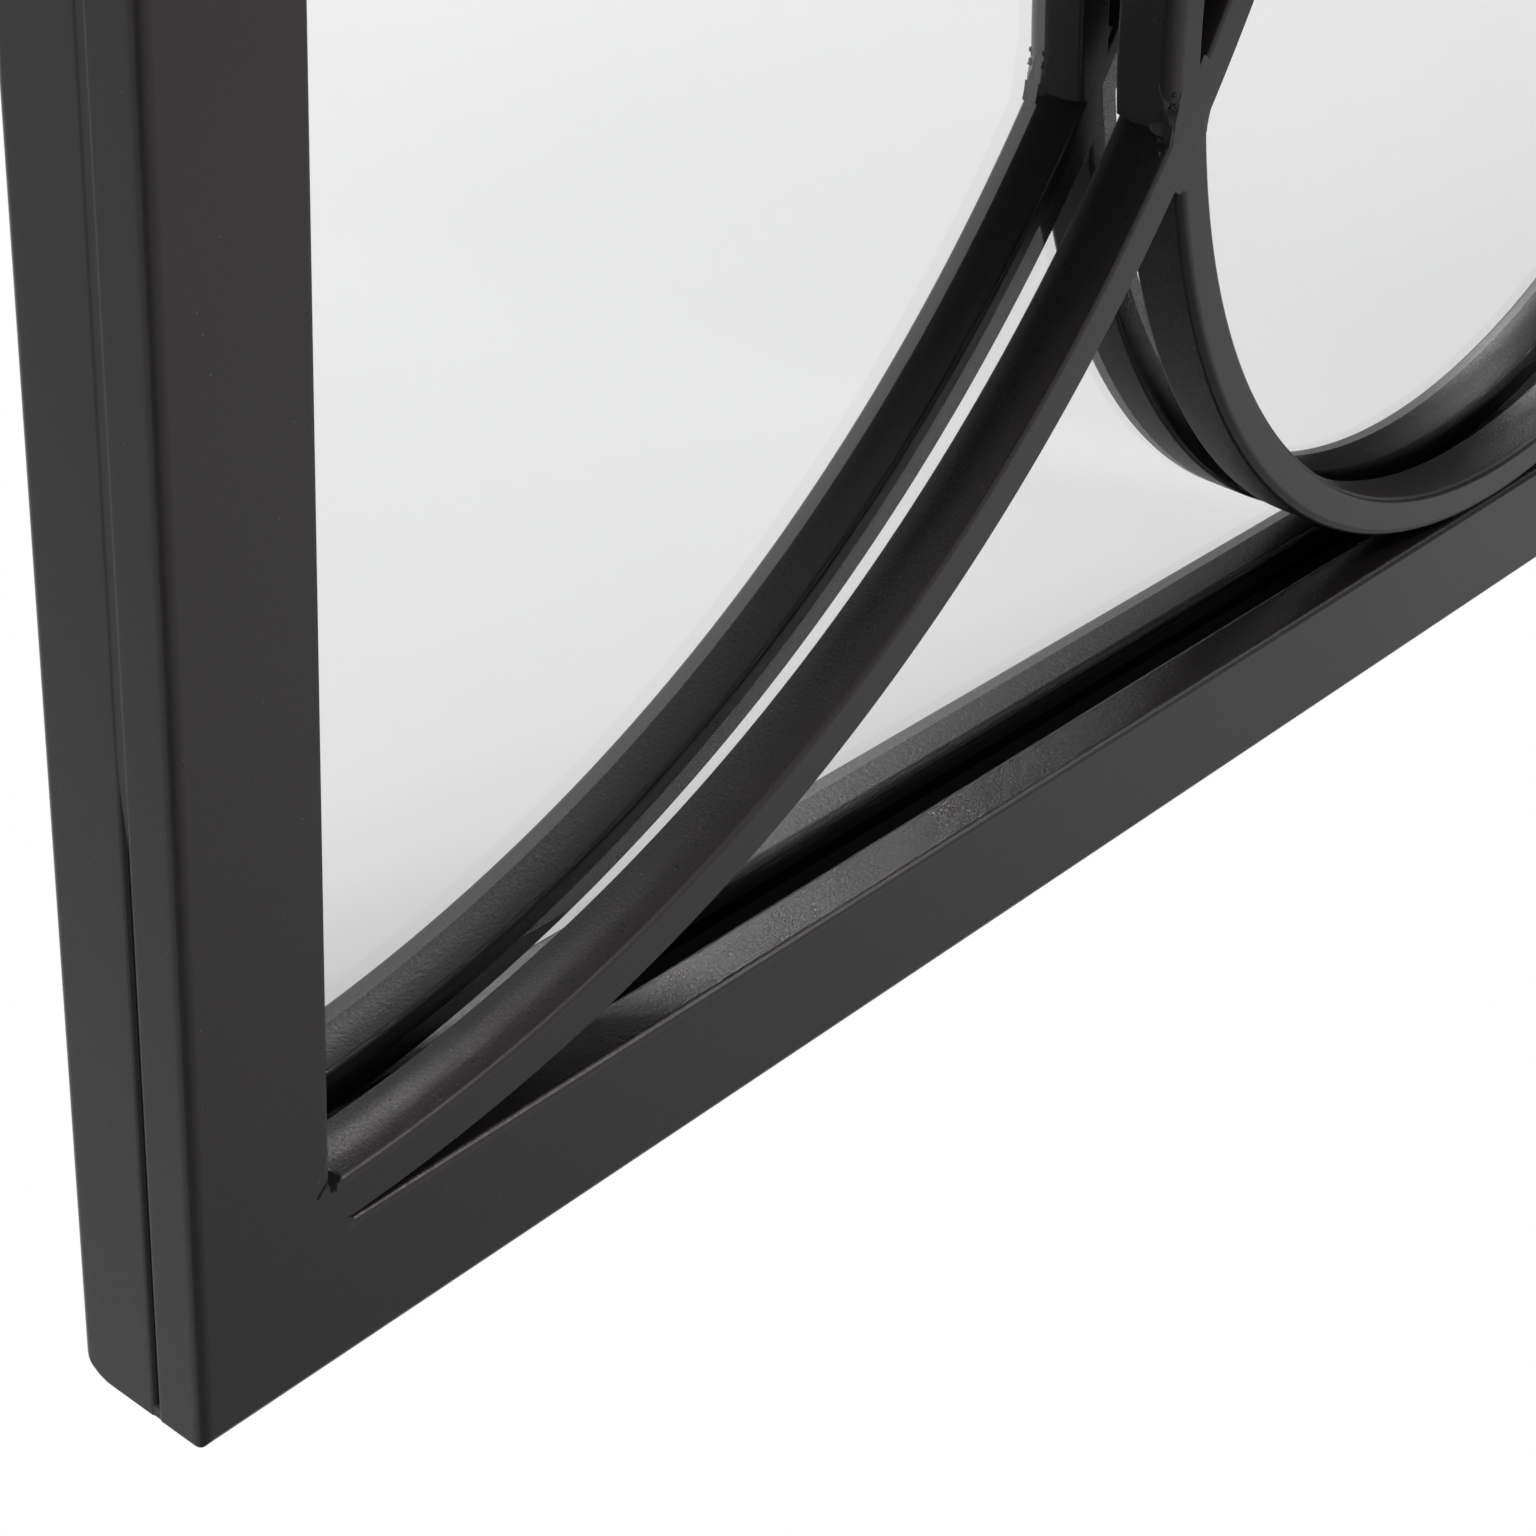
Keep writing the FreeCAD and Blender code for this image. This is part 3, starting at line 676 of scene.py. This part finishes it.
def grille_welds(material):
    """All welds of the bars as one piece."""
    half = BAR / 2
    quarter = [arc_fill(), ring_fill(), edge_cover(-half, RUN_ROUND, 9 * MM, 1.0, 1),
               edge_cover(half, RING_ROUND, 2.6 * MM, 0.2, 2)]
    quarter += [flush_fill(-half, -3.4 * MM, 2.0 * MM), flush_fill(half, 2.0 * MM, -8 * MM)]
    quarter += crossing_lumps()
    front, back = WELD_SPAN
    welds = [(-half, half, (1.4 * MM, 2.4 * MM), (front, TIP_WELD_END)),
             (half, -half, (2.4 * MM, 2.6 * MM), (SET_BACK, back)),
             (half, half, (2.3 * MM, 2.5 * MM), (FILM, back))]
    for seed, (arc_side, ring_side, legs, span) in enumerate(welds):
        quarter.append(corner_weld(arc_side, ring_side, False, legs, span, seed))
    for seed, side in enumerate((-half, half)):
        quarter.append(corner_weld(side, side, True, (3.5 * MM, 3.5 * MM), WELD_SPAN, seed + 5))
    shells = []
    for loops in quarter:
        for across in (False, True):
            for up in (False, True):
                shells.append(flipped(loops, across, up))
    for seed, side in enumerate((-half, half)):
        notch = notch_weld(side, 3.0 * MM, seed + 8)
        shells += [notch, flipped(notch, True, False)]
    mesh = loops_mesh("bar_weld_metal", shells)
    piece = finished("bar_weld_metal", mesh, material, "mirror")
    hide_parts("bar_welds")


# Glass


def glass_pane(glass, silver):
    """The pane as a closed slab: clear front and edges, silver on the back."""
    low = GLASS_LOW + Vector((0, FILM, 0))
    high = GLASS_HIGH - Vector((0, FILM, 0))
    shape = bmesh.new()
    bmesh.ops.create_cube(shape, size=1)
    for vertex in shape.verts:
        vertex.co = Vector((low.x + (vertex.co.x + 0.5) * (high.x - low.x),
                            low.y + (vertex.co.y + 0.5) * (high.y - low.y),
                            low.z + (vertex.co.z + 0.5) * (high.z - low.z)))
    mesh = bpy.data.meshes.new("mirror_pane")
    shape.to_mesh(mesh)
    shape.free()
    mesh.materials.append(glass)
    mesh.materials.append(silver)
    for polygon in mesh.polygons:
        if polygon.normal.y > 0.9:
            polygon.material_index = 1
    piece = bpy.data.objects.new("mirror_pane", mesh)
    bpy.context.scene.collection.objects.link(piece)
    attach(piece, "mirror")
    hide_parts("mirror_glass")


# Screws


def islands(node):
    """Lowest and highest corner of each separate solid in a node."""
    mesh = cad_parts[node].data
    shape = bmesh.new()
    shape.from_mesh(mesh)
    bmesh.ops.remove_doubles(shape, verts=shape.verts, dist=SAME_PLACE)
    left = set(shape.verts)
    boxes = []
    while left:
        grow = [left.pop()]
        places = []
        while grow:
            vertex = grow.pop()
            places.append(vertex.co.copy())
            for edge in vertex.link_edges:
                other = edge.other_vert(vertex)
                if other in left:
                    left.remove(other)
                    grow.append(other)
        low = Vector([min(place[axis] for place in places) for axis in range(3)])
        high = Vector([max(place[axis] for place in places) for axis in range(3)])
        boxes.append((low, high))
    shape.free()
    boxes.sort(key=lambda box: tuple(round(value, 4) for value in box[0]))
    return boxes


def screw_height(radius, turn):
    """Height of the pan head's top above its seat, with a cross recess."""
    dome = HEAD_EDGE + (HEAD_HEIGHT - HEAD_EDGE) * math.sqrt(max(0.0, 1 - (radius / HEAD_RADIUS) ** 2))
    x = abs(radius * math.cos(turn))
    y = abs(radius * math.sin(turn))
    along = max(x, y)
    aside = min(x, y)
    arm = max(0.0, 1 - along / CROSS_REACH)
    wall = min(1.0, max(0.0, (CROSS_HALF - aside) / CROSS_WALL))
    return dome - CROSS_DEPTH * wall * min(1.0, 3 * arm)


def screw_loops(low, high):
    """Loops of one screw that fills a box: point, threads, then the head with its recess."""
    size = high - low
    axis = max(range(3), key=lambda index: size[index])
    middle = (low + high) / 2
    sign = 1 if axis == 1 else (-1 if middle[axis] > 0 else 1)
    length = size[axis] - HEAD_HEIGHT
    first = Vector([1.0 if index == (axis + 1) % 3 else 0.0 for index in range(3)])
    second = Vector([1.0 if index == (axis + 2) % 3 else 0.0 for index in range(3)])
    way = Vector([sign if index == axis else 0.0 for index in range(3)])
    seat = middle + way * (size[axis] / 2 - HEAD_HEIGHT)
    rows = [(SCREW_TIP, -length), (SCREW_CORE, SCREW_POINT - length)]
    threads = int((length - THREAD_END) / THREAD_PITCH)
    for thread in range(threads):
        start = THREAD_START - length + thread * THREAD_PITCH
        crest = start + 0.45 * THREAD_PITCH
        end = start + 0.9 * THREAD_PITCH
        rows += [(SCREW_CORE, start), (SCREW_RADIUS, crest), (SCREW_CORE, end)]
    rows += [(SCREW_CORE, 0.0), (HEAD_RADIUS, 0.0), (HEAD_RADIUS, 0.6 * HEAD_EDGE)]
    turns = 72
    angles = [2 * math.pi * turn / turns for turn in range(turns)]

    def round_place(radius, angle, height):
        return seat + way * height + radius * (math.cos(angle) * first + math.sin(angle) * second)

    loops = []
    for radius, height in rows:
        loops.append([round_place(radius, angle, height) for angle in angles])
    rings = 26
    for ring in range(rings + 1):
        radius = HEAD_RADIUS * (1 - ring / rings) + HEAD_MIDDLE * ring / rings
        loops.append([round_place(radius, angle, screw_height(radius, angle)) for angle in angles])
    return loops


def screws(node, material):
    """Screws with threads and cross recesses in place of a node's plain ones."""
    shells = [screw_loops(low, high) for low, high in islands(node)]
    piece = finished(node + "_cross", loops_mesh(node, shells), material, "mirror")
    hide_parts(node)


# Materials


def new_material(name):
    """A material with a Principled shader."""
    material = bpy.data.materials.new(name)
    material.use_nodes = True
    nodes = material.node_tree.nodes
    shader = next(node for node in nodes if node.type == "BSDF_PRINCIPLED")
    return material, nodes, material.node_tree.links, shader


def bare_material(name, shader_type):
    """A material with one plain shader in it."""
    material = bpy.data.materials.new(name)
    material.use_nodes = True
    nodes = material.node_tree.nodes
    links = material.node_tree.links
    nodes.clear()
    output = nodes.new("ShaderNodeOutputMaterial")
    shader = nodes.new(shader_type)
    links.new(shader.outputs["BSDF"], output.inputs["Surface"])
    return material, nodes, links, shader


def place_node(nodes):
    """The place on the object."""
    return nodes.new("ShaderNodeTexCoord").outputs["Object"]


def noise_node(nodes, links, place, scale, detail, roughness=0.55):
    """Noise over the place."""
    texture = nodes.new("ShaderNodeTexNoise")
    texture.inputs["Scale"].default_value = scale
    texture.inputs["Detail"].default_value = detail
    texture.inputs["Roughness"].default_value = roughness
    links.new(place, texture.inputs["Vector"])
    return texture.outputs["Fac"]


def spread(nodes, links, value, from_low, from_high, to_low, to_high):
    """A value moved from one range to another, and held in it."""
    node = nodes.new("ShaderNodeMapRange")
    node.inputs["From Min"].default_value = from_low
    node.inputs["From Max"].default_value = from_high
    node.inputs["To Min"].default_value = to_low
    node.inputs["To Max"].default_value = to_high
    links.new(value, node.inputs["Value"])
    return node.outputs["Result"]


def mixed_colour(nodes, links, factor, first, second):
    """A mix of two fixed colours."""
    node = nodes.new("ShaderNodeMix")
    node.data_type = "RGBA"
    node.inputs["A"].default_value = (*first, 1)
    node.inputs["B"].default_value = (*second, 1)
    links.new(factor, node.inputs["Factor"])
    return node.outputs["Result"]


def tinted(nodes, links, factor, under, colour):
    """A colour laid over another one by a mask."""
    node = nodes.new("ShaderNodeMix")
    node.data_type = "RGBA"
    links.new(under, node.inputs["A"])
    node.inputs["B"].default_value = (*colour, 1)
    links.new(factor, node.inputs["Factor"])
    return node.outputs["Result"]


def bumped(nodes, links, shader, height, distance, strength=1.0, under=None):
    """Bumps on a shader, over any that are under them."""
    node = nodes.new("ShaderNodeBump")
    node.inputs["Distance"].default_value = distance
    node.inputs["Strength"].default_value = strength
    links.new(height, node.inputs["Height"])
    if under is not None:
        links.new(under, node.inputs["Normal"])
    links.new(node.outputs["Normal"], shader.inputs["Normal"])
    return node.outputs["Normal"]


def number_step(nodes, links, operation, first, second, clamp=False):
    """One step of arithmetic with two linked values."""
    node = nodes.new("ShaderNodeMath")
    node.operation = operation
    node.use_clamp = clamp
    links.new(first, node.inputs[0])
    links.new(second, node.inputs[1])
    return node.outputs["Value"]


def vector_step(nodes, links, operation, first, second):
    """One step of vector arithmetic. The second value is a link or a constant."""
    node = nodes.new("ShaderNodeVectorMath")
    node.operation = operation
    links.new(first, node.inputs[0])
    if isinstance(second, tuple):
        node.inputs[1].default_value = second
    else:
        links.new(second, node.inputs[1])
    return node.outputs["Value"] if operation in ("DOT_PRODUCT", "DISTANCE") else node.outputs["Vector"]


def crack(nodes, links, place):
    """Mask of painted shade in the short crack and the pit that it starts in, beside the half circle's end,
    at each corner.

    A shake moves places by half its size on average, so half of it is taken off each place first.
    """
    start = Vector((HALF_WIDTH - CRACK_START[0], 0, HALF_HEIGHT - CRACK_START[1]))
    end = Vector((HALF_WIDTH - CRACK_END[0], 0, HALF_HEIGHT - CRACK_END[1]))
    length = (end - start).length
    way = (end - start).normalized()
    fold = nodes.new("ShaderNodeVectorMath")
    fold.operation = "ABSOLUTE"
    links.new(place, fold.inputs[0])
    flat = vector_step(nodes, links, "MULTIPLY", fold.outputs["Vector"], (1, 0, 1))
    shake = nodes.new("ShaderNodeTexNoise")
    shake.inputs["Scale"].default_value = 900
    links.new(flat, shake.inputs["Vector"])
    small = vector_step(nodes, links, "MULTIPLY", shake.outputs["Color"], (CRACK_SHAKE, 0, CRACK_SHAKE))
    shaken_start = start - Vector((CRACK_SHAKE / 2, 0, CRACK_SHAKE / 2))
    offset = vector_step(nodes, links, "SUBTRACT", flat, tuple(shaken_start))
    offset = vector_step(nodes, links, "SUBTRACT", offset, small)
    along = vector_step(nodes, links, "DOT_PRODUCT", offset, tuple(way))
    held = nodes.new("ShaderNodeClamp")
    held.inputs["Max"].default_value = length
    links.new(along, held.inputs["Value"])
    foot = nodes.new("ShaderNodeVectorMath")
    foot.operation = "SCALE"
    foot.inputs[0].default_value = way
    links.new(held.outputs["Result"], foot.inputs["Scale"])
    apart = vector_step(nodes, links, "DISTANCE", offset, foot.outputs["Vector"])
    # Painted shade: the crack's line and the pit are masked here to be coloured near black.
    crack_line_shade = spread(nodes, links, apart, *CRACK_EDGE, 1.0, 0.0)
    inset, deep, above = PIT_PLACE
    pit_place = Vector((HALF_WIDTH - inset, -FRONT_Y - deep, HALF_HEIGHT - above))
    pit_place -= Vector((PIT_SHAKE,) * 3) / 2
    ragged = vector_step(nodes, links, "MULTIPLY", shake.outputs["Color"], (PIT_SHAKE,) * 3)
    shaken = vector_step(nodes, links, "SUBTRACT", fold.outputs["Vector"], ragged)
    to_pit = vector_step(nodes, links, "DISTANCE", shaken, tuple(pit_place))
    pit = spread(nodes, links, to_pit, *PIT_EDGE, 1.0, 0.0)
    return number_step(nodes, links, "MAXIMUM", crack_line_shade, pit)


def dust(nodes, links, place):
    """Mask of sparse pale specks."""
    cells = nodes.new("ShaderNodeTexVoronoi")
    cells.inputs["Scale"].default_value = 240
    links.new(place, cells.inputs["Vector"])
    return spread(nodes, links, cells.outputs["Distance"], 0.022, 0.036, 1.0, 0.0)


def upper_share(nodes, links, grain):
    """The coat's grain: strong on faces that look up, where stray powder settles, and faint elsewhere."""
    geometry = nodes.new("ShaderNodeNewGeometry")
    upward = vector_step(nodes, links, "DOT_PRODUCT", geometry.outputs["Normal"], (0, 0, 1))
    share = spread(nodes, links, upward, 0.6, 0.95, 0.12, 1.0)
    return number_step(nodes, links, "MULTIPLY", grain, share)


def powder_coat():
    """Satin black powder coat: faint orange peel, grain on upper faces, pale specks, and a crack and pit
    painted near black as shade.
    """
    material, nodes, links, shader = new_material("black_powder_coat")
    place = place_node(nodes)
    grain = noise_node(nodes, links, place, 1500, 2.0, 0.6)
    peel = noise_node(nodes, links, place, 420, 2.0, 0.5)
    cloud = noise_node(nodes, links, place, 28, 4.0, 0.6)
    colour = mixed_colour(nodes, links, cloud, (0.0125, 0.0105, 0.0112), (0.0175, 0.0148, 0.0158))
    # Painted shade: the crack and the pit are coloured near black and made fully rough, standing for the
    # shade in the gap and the hollow.
    crack_shade_mask = crack(nodes, links, place)
    colour = tinted(nodes, links, crack_shade_mask, colour, (0.001, 0.001, 0.001))
    colour = tinted(nodes, links, dust(nodes, links, place), colour, (0.1, 0.1, 0.096))
    links.new(colour, shader.inputs["Base Color"])
    satin = spread(nodes, links, grain, 0.3, 0.7, 0.27, 0.37)
    links.new(number_step(nodes, links, "ADD", satin, crack_shade_mask, clamp=True), shader.inputs["Roughness"])
    shader.inputs["Specular IOR Level"].default_value = 0.36
    shader.inputs["Specular Tint"].default_value = (1.0, 0.95, 0.97, 1)
    rough = bumped(nodes, links, shader, peel, 0.000006)
    bumped(nodes, links, shader, upper_share(nodes, links, grain), 0.00007, 1.0, rough)
    return material


def clear_glass():
    """Float glass of the mirror, with a trace of green."""
    material, nodes, links, glass = bare_material("float_glass", "ShaderNodeBsdfGlass")
    glass.inputs["IOR"].default_value = 1.52
    glass.inputs["Roughness"].default_value = 0.0
    place = place_node(nodes)
    cloud = noise_node(nodes, links, place, 6, 2.0)
    tint = mixed_colour(nodes, links, cloud, (0.98, 0.985, 0.983), (0.988, 0.99, 0.989))
    links.new(tint, glass.inputs["Color"])
    return material


def silver_coat():
    """Silver on the back of the glass."""
    material, nodes, links, silver = bare_material("silver_coat", "ShaderNodeBsdfGlossy")
    silver.inputs["Roughness"].default_value = 0.0
    place = place_node(nodes)
    cloud = noise_node(nodes, links, place, 9, 2.0)
    tint = mixed_colour(nodes, links, cloud, (0.865, 0.862, 0.866), (0.89, 0.887, 0.891))
    links.new(tint, silver.inputs["Color"])
    return material


def speckled(name, dark, light, scale, roughness, metallic, bump):
    """A surface whose colour and roughness vary with fine noise."""
    material, nodes, links, shader = new_material(name)
    place = place_node(nodes)
    fine = noise_node(nodes, links, place, scale, 4.0, 0.6)
    links.new(mixed_colour(nodes, links, fine, dark, light), shader.inputs["Base Color"])
    low, high = roughness
    links.new(spread(nodes, links, fine, 0.3, 0.7, low, high), shader.inputs["Roughness"])
    shader.inputs["Metallic"].default_value = metallic
    bumped(nodes, links, shader, fine, bump)
    return material


def fibreboard():
    """Raw hardboard: mottled brown fibres over the print of the wire screen that it was pressed on."""
    material, nodes, links, shader = new_material("fibreboard")
    place = place_node(nodes)
    cloud = noise_node(nodes, links, place, 18, 5.0, 0.65)
    fibre = noise_node(nodes, links, place, 700, 4.0, 0.7)
    patches = spread(nodes, links, cloud, 0.3, 0.7, 0, 1)
    colour = mixed_colour(nodes, links, patches, (0.15, 0.085, 0.043), (0.27, 0.17, 0.095))
    flecks = spread(nodes, links, fibre, 0.62, 0.72, 0.0, 0.7)
    links.new(tinted(nodes, links, flecks, colour, (0.4, 0.29, 0.18)), shader.inputs["Base Color"])
    links.new(spread(nodes, links, fibre, 0.3, 0.7, 0.62, 0.85), shader.inputs["Roughness"])
    under = None
    for direction in ("X", "Z"):
        wires = nodes.new("ShaderNodeTexWave")
        wires.bands_direction = direction
        wires.inputs["Scale"].default_value = 190
        wires.inputs["Distortion"].default_value = 1.2
        links.new(place, wires.inputs["Vector"])
        under = bumped(nodes, links, shader, wires.outputs["Fac"], 0.00012, 0.8, under)
    bumped(nodes, links, shader, fibre, 0.0001, 1.0, under)
    return material


# Light and camera


def area_light(name, place, aim, size, power):
    """A square white lamp turned to a place."""
    data = bpy.data.lights.new(name, "AREA")
    data.shape = "SQUARE"
    data.size = size
    data.energy = power
    lamp = bpy.data.objects.new(name, data)
    bpy.context.scene.collection.objects.link(lamp)
    lamp.location = place
    lamp.rotation_euler = (Vector(aim) - Vector(place)).to_track_quat("-Z", "Y").to_euler()


def white_world(ambient):
    """White to the camera, in reflections and through glass; a weaker even light on the object."""
    scene = bpy.context.scene
    world = bpy.data.worlds.new("studio")
    scene.world = world
    world.use_nodes = True
    nodes = world.node_tree.nodes
    links = world.node_tree.links
    nodes.clear()
    output = nodes.new("ShaderNodeOutputWorld")
    path = nodes.new("ShaderNodeLightPath")
    seen = path.outputs["Is Camera Ray"]
    for ray in ("Is Glossy Ray", "Is Transmission Ray"):
        seen = number_step(nodes, links, "MAXIMUM", seen, path.outputs[ray])
    even = nodes.new("ShaderNodeBackground")
    even.inputs["Color"].default_value = (1, 1, 1, 1)
    even.inputs["Strength"].default_value = ambient
    white = nodes.new("ShaderNodeBackground")
    white.inputs["Color"].default_value = (1, 1, 1, 1)
    white.inputs["Strength"].default_value = 1.0
    mix = nodes.new("ShaderNodeMixShader")
    links.new(seen, mix.inputs["Fac"])
    links.new(even.outputs["Background"], mix.inputs[1])
    links.new(white.outputs["Background"], mix.inputs[2])
    links.new(mix.outputs["Shader"], output.inputs["Surface"])


def photo_camera():
    """Camera of the photo: left of, before and above the lower left front corner."""
    data = bpy.data.cameras.new("photo_camera")
    data.sensor_width = 36.0
    data.lens = 76.45
    data.dof.use_dof = False
    data.clip_start = 0.01
    data.clip_end = 50
    camera = bpy.data.objects.new("photo_camera", data)
    bpy.context.scene.collection.objects.link(camera)
    right = Vector((0.64463142, -0.76240932, 0.05641238)).normalized()
    forward = Vector((0.66966022, 0.52753095, -0.52274878)).normalized()
    up = right.cross(forward)
    turn = Matrix((right, up, -forward)).transposed()
    place = Vector((-HALF_WIDTH - 0.2195, FRONT_Y - 0.2651, -HALF_HEIGHT + 0.3249))
    camera.matrix_world = Matrix.Translation(place) @ turn.to_4x4()
    bpy.context.scene.camera = camera


def floor(material):
    """Pale floor, well below the mirror that hangs on the wall."""
    size = 7.0
    level = -1.2
    mesh = bpy.data.meshes.new("floor")
    corners = [(-size, -size, level), (size, -size, level), (size, -0.1, level), (-size, -0.1, level)]
    mesh.from_pydata(corners, [], [(0, 1, 2, 3)])
    mesh.materials.append(material)
    piece = bpy.data.objects.new("floor", mesh)
    bpy.context.scene.collection.objects.link(piece)


def brighten_away(material):
    """Let the floor glow more with the distance from the mirror, and shade it near the wall."""
    nodes = material.node_tree.nodes
    links = material.node_tree.links
    shader = nodes["Principled BSDF"]
    distance = vector_step(nodes, links, "DOT_PRODUCT", place_node(nodes), (0.25, -1.0, 0.0))
    shader.inputs["Emission Color"].default_value = (1, 1, 1, 1)
    near_glow = spread(nodes, links, distance, 0.95, 1.4, 0.12, 0.41)
    far_glow = spread(nodes, links, distance, 1.4, 3.4, 0.0, 0.24)
    links.new(number_step(nodes, links, "ADD", near_glow, far_glow), shader.inputs["Emission Strength"])
    colour = shader.inputs["Base Color"].links[0].from_socket
    near_wall = spread(nodes, links, distance, 0.85, 1.3, 1.0, 0.0)
    links.new(tinted(nodes, links, near_wall, colour, (0.36, 0.36, 0.36)), shader.inputs["Base Color"])


def screen(name, material, place, aim, size):
    """A studio screen, which dims what the faces toward it reflect. The camera never sees it."""
    half_x = size[0] / 2
    half_y = size[1] / 2
    mesh = bpy.data.meshes.new(name)
    corners = [(-half_x, -half_y, 0), (half_x, -half_y, 0), (half_x, half_y, 0), (-half_x, half_y, 0)]
    mesh.from_pydata(corners, [], [(0, 1, 2, 3)])
    mesh.materials.append(material)
    piece = bpy.data.objects.new(name, mesh)
    bpy.context.scene.collection.objects.link(piece)
    piece.location = place
    piece.rotation_euler = (Vector(aim) - Vector(place)).to_track_quat("-Z", "Y").to_euler()
    piece.visible_camera = False


# Assembly

coat = powder_coat()
# Black foam of the glazing strips, coloured darker than real foam and given little shine, partly as painted
# shade for the deep slot behind the frame's front.
foam_with_shade = speckled("foam_strip_with_shade", (0.0015, 0.0015, 0.0016), (0.004, 0.004, 0.004), 1800, (0.9, 1.0), 0.0,
                0.0001)
foam_with_shade_shader = foam_with_shade.node_tree.nodes["Principled BSDF"]
foam_with_shade_shader.inputs["Specular IOR Level"].default_value = 0.05
board = fibreboard()
zinc = speckled("zinc_plate", (0.22, 0.23, 0.25), (0.42, 0.43, 0.45), 240, (0.3, 0.5), 1.0, 0.00003)
bright = speckled("bright_wire", (0.32, 0.32, 0.34), (0.5, 0.5, 0.51), 500, (0.2, 0.34), 1.0, 0.00001)
plate = speckled("screw_plate", (0.2, 0.2, 0.21), (0.36, 0.36, 0.38), 700, (0.25, 0.4), 1.0, 0.00001)
rubber = speckled("bumper_rubber", (0.018, 0.018, 0.018), (0.035, 0.035, 0.034), 900, (0.6, 0.8), 0.0,
                  0.00004)
pale = speckled("pale_floor", (0.78, 0.78, 0.78), (0.84, 0.84, 0.84), 3, (0.5, 0.6), 0.0, 0.0001)
brighten_away(pale)
grey = speckled("grey_card", (0.4, 0.4, 0.4), (0.46, 0.46, 0.46), 3, (0.8, 0.9), 0.0, 0.0001)
grey_shader = grey.node_tree.nodes["Principled BSDF"]
grey_shader.inputs["Emission Color"].default_value = (1, 1, 1, 1)
grey_shader.inputs["Emission Strength"].default_value = 0.55
velvet = speckled("black_velvet", (0.004, 0.004, 0.004), (0.01, 0.01, 0.01), 40, (0.9, 1.0), 0.0, 0.0001)

front_radii = (OUTER_ROUND, INNER_ROUND, INNER_ROUND, SEAM_ROUND)
back_radii = (SEAM_ROUND, OUTER_ROUND, OUTER_ROUND, OUTER_ROUND)
for sign, stile, rail in ((-1, "left_stile", "bottom_rail"), (1, "right_stile", "top_rail")):
    tube("front_" + stile, FACE, FRONT_Y, SEAM_Y, front_radii, coat, True, sign)
    tube("front_" + rail, FACE, FRONT_Y, SEAM_Y, front_radii, coat, False, sign)
    tube("back_" + stile, BACK_FACE, SEAM_Y, BACK_Y, back_radii, coat, True, sign)
    tube("back_" + rail, BACK_FACE, SEAM_Y, BACK_Y, back_radii, coat, False, sign)
seam_welds(coat)
grille(coat)
grille_welds(coat)
glass_pane(clear_glass(), silver_coat())

for node in ("clip_screws", "hanger_screws"):
    screws(node, plate)

kept = {"back_board": board, "board_clips": zinc, "wall_bumpers": rubber}
for side in ("left", "right"):
    kept[side + "_hanger_strap"] = zinc
    kept[side + "_hanger_ring"] = bright
for side in ("left", "right", "bottom", "top"):
    kept[side + "_glazing_strip"] = foam_with_shade
for name, material in kept.items():
    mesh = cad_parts[name].data
    mesh.materials.clear()
    mesh.materials.append(material)
    for polygon in mesh.polygons:
        polygon.use_smooth = True
    mesh.set_sharp_from_angle(angle=NODE_SHARP_ANGLE)

floor(pale)
white_world(0.4)
screen("dark_screen", velvet, (-1.05, -0.68, 0.36), (-0.3, -0.03, -0.2), (1.3, 1.5))
screen("grey_screen", grey, (-1.5, 1.45, -1.0), (-0.35, -0.02, -0.1), (2.6, 3.2))
screen("right_screen", velvet, (1.66, -0.76, 0.05), (0, 0, -0.2), (1.1, 1.5))
area_light("key", (1.4, -1.5, 1.5), (-0.1, 0, -0.1), 0.5, 10)
area_light("middle", (0.92, -1.52, 1.62), (-0.25, 0, -0.2), 0.35, 5)
area_light("top", (0.35, -1.4, 1.7), (-0.3, 0, -0.2), 0.35, 1.8)
area_light("rim", (1.3, -0.45, 1.5), (-0.1, 0, -0.2), 0.35, 4)
photo_camera()

bpy.context.scene.view_settings.view_transform = "Standard"
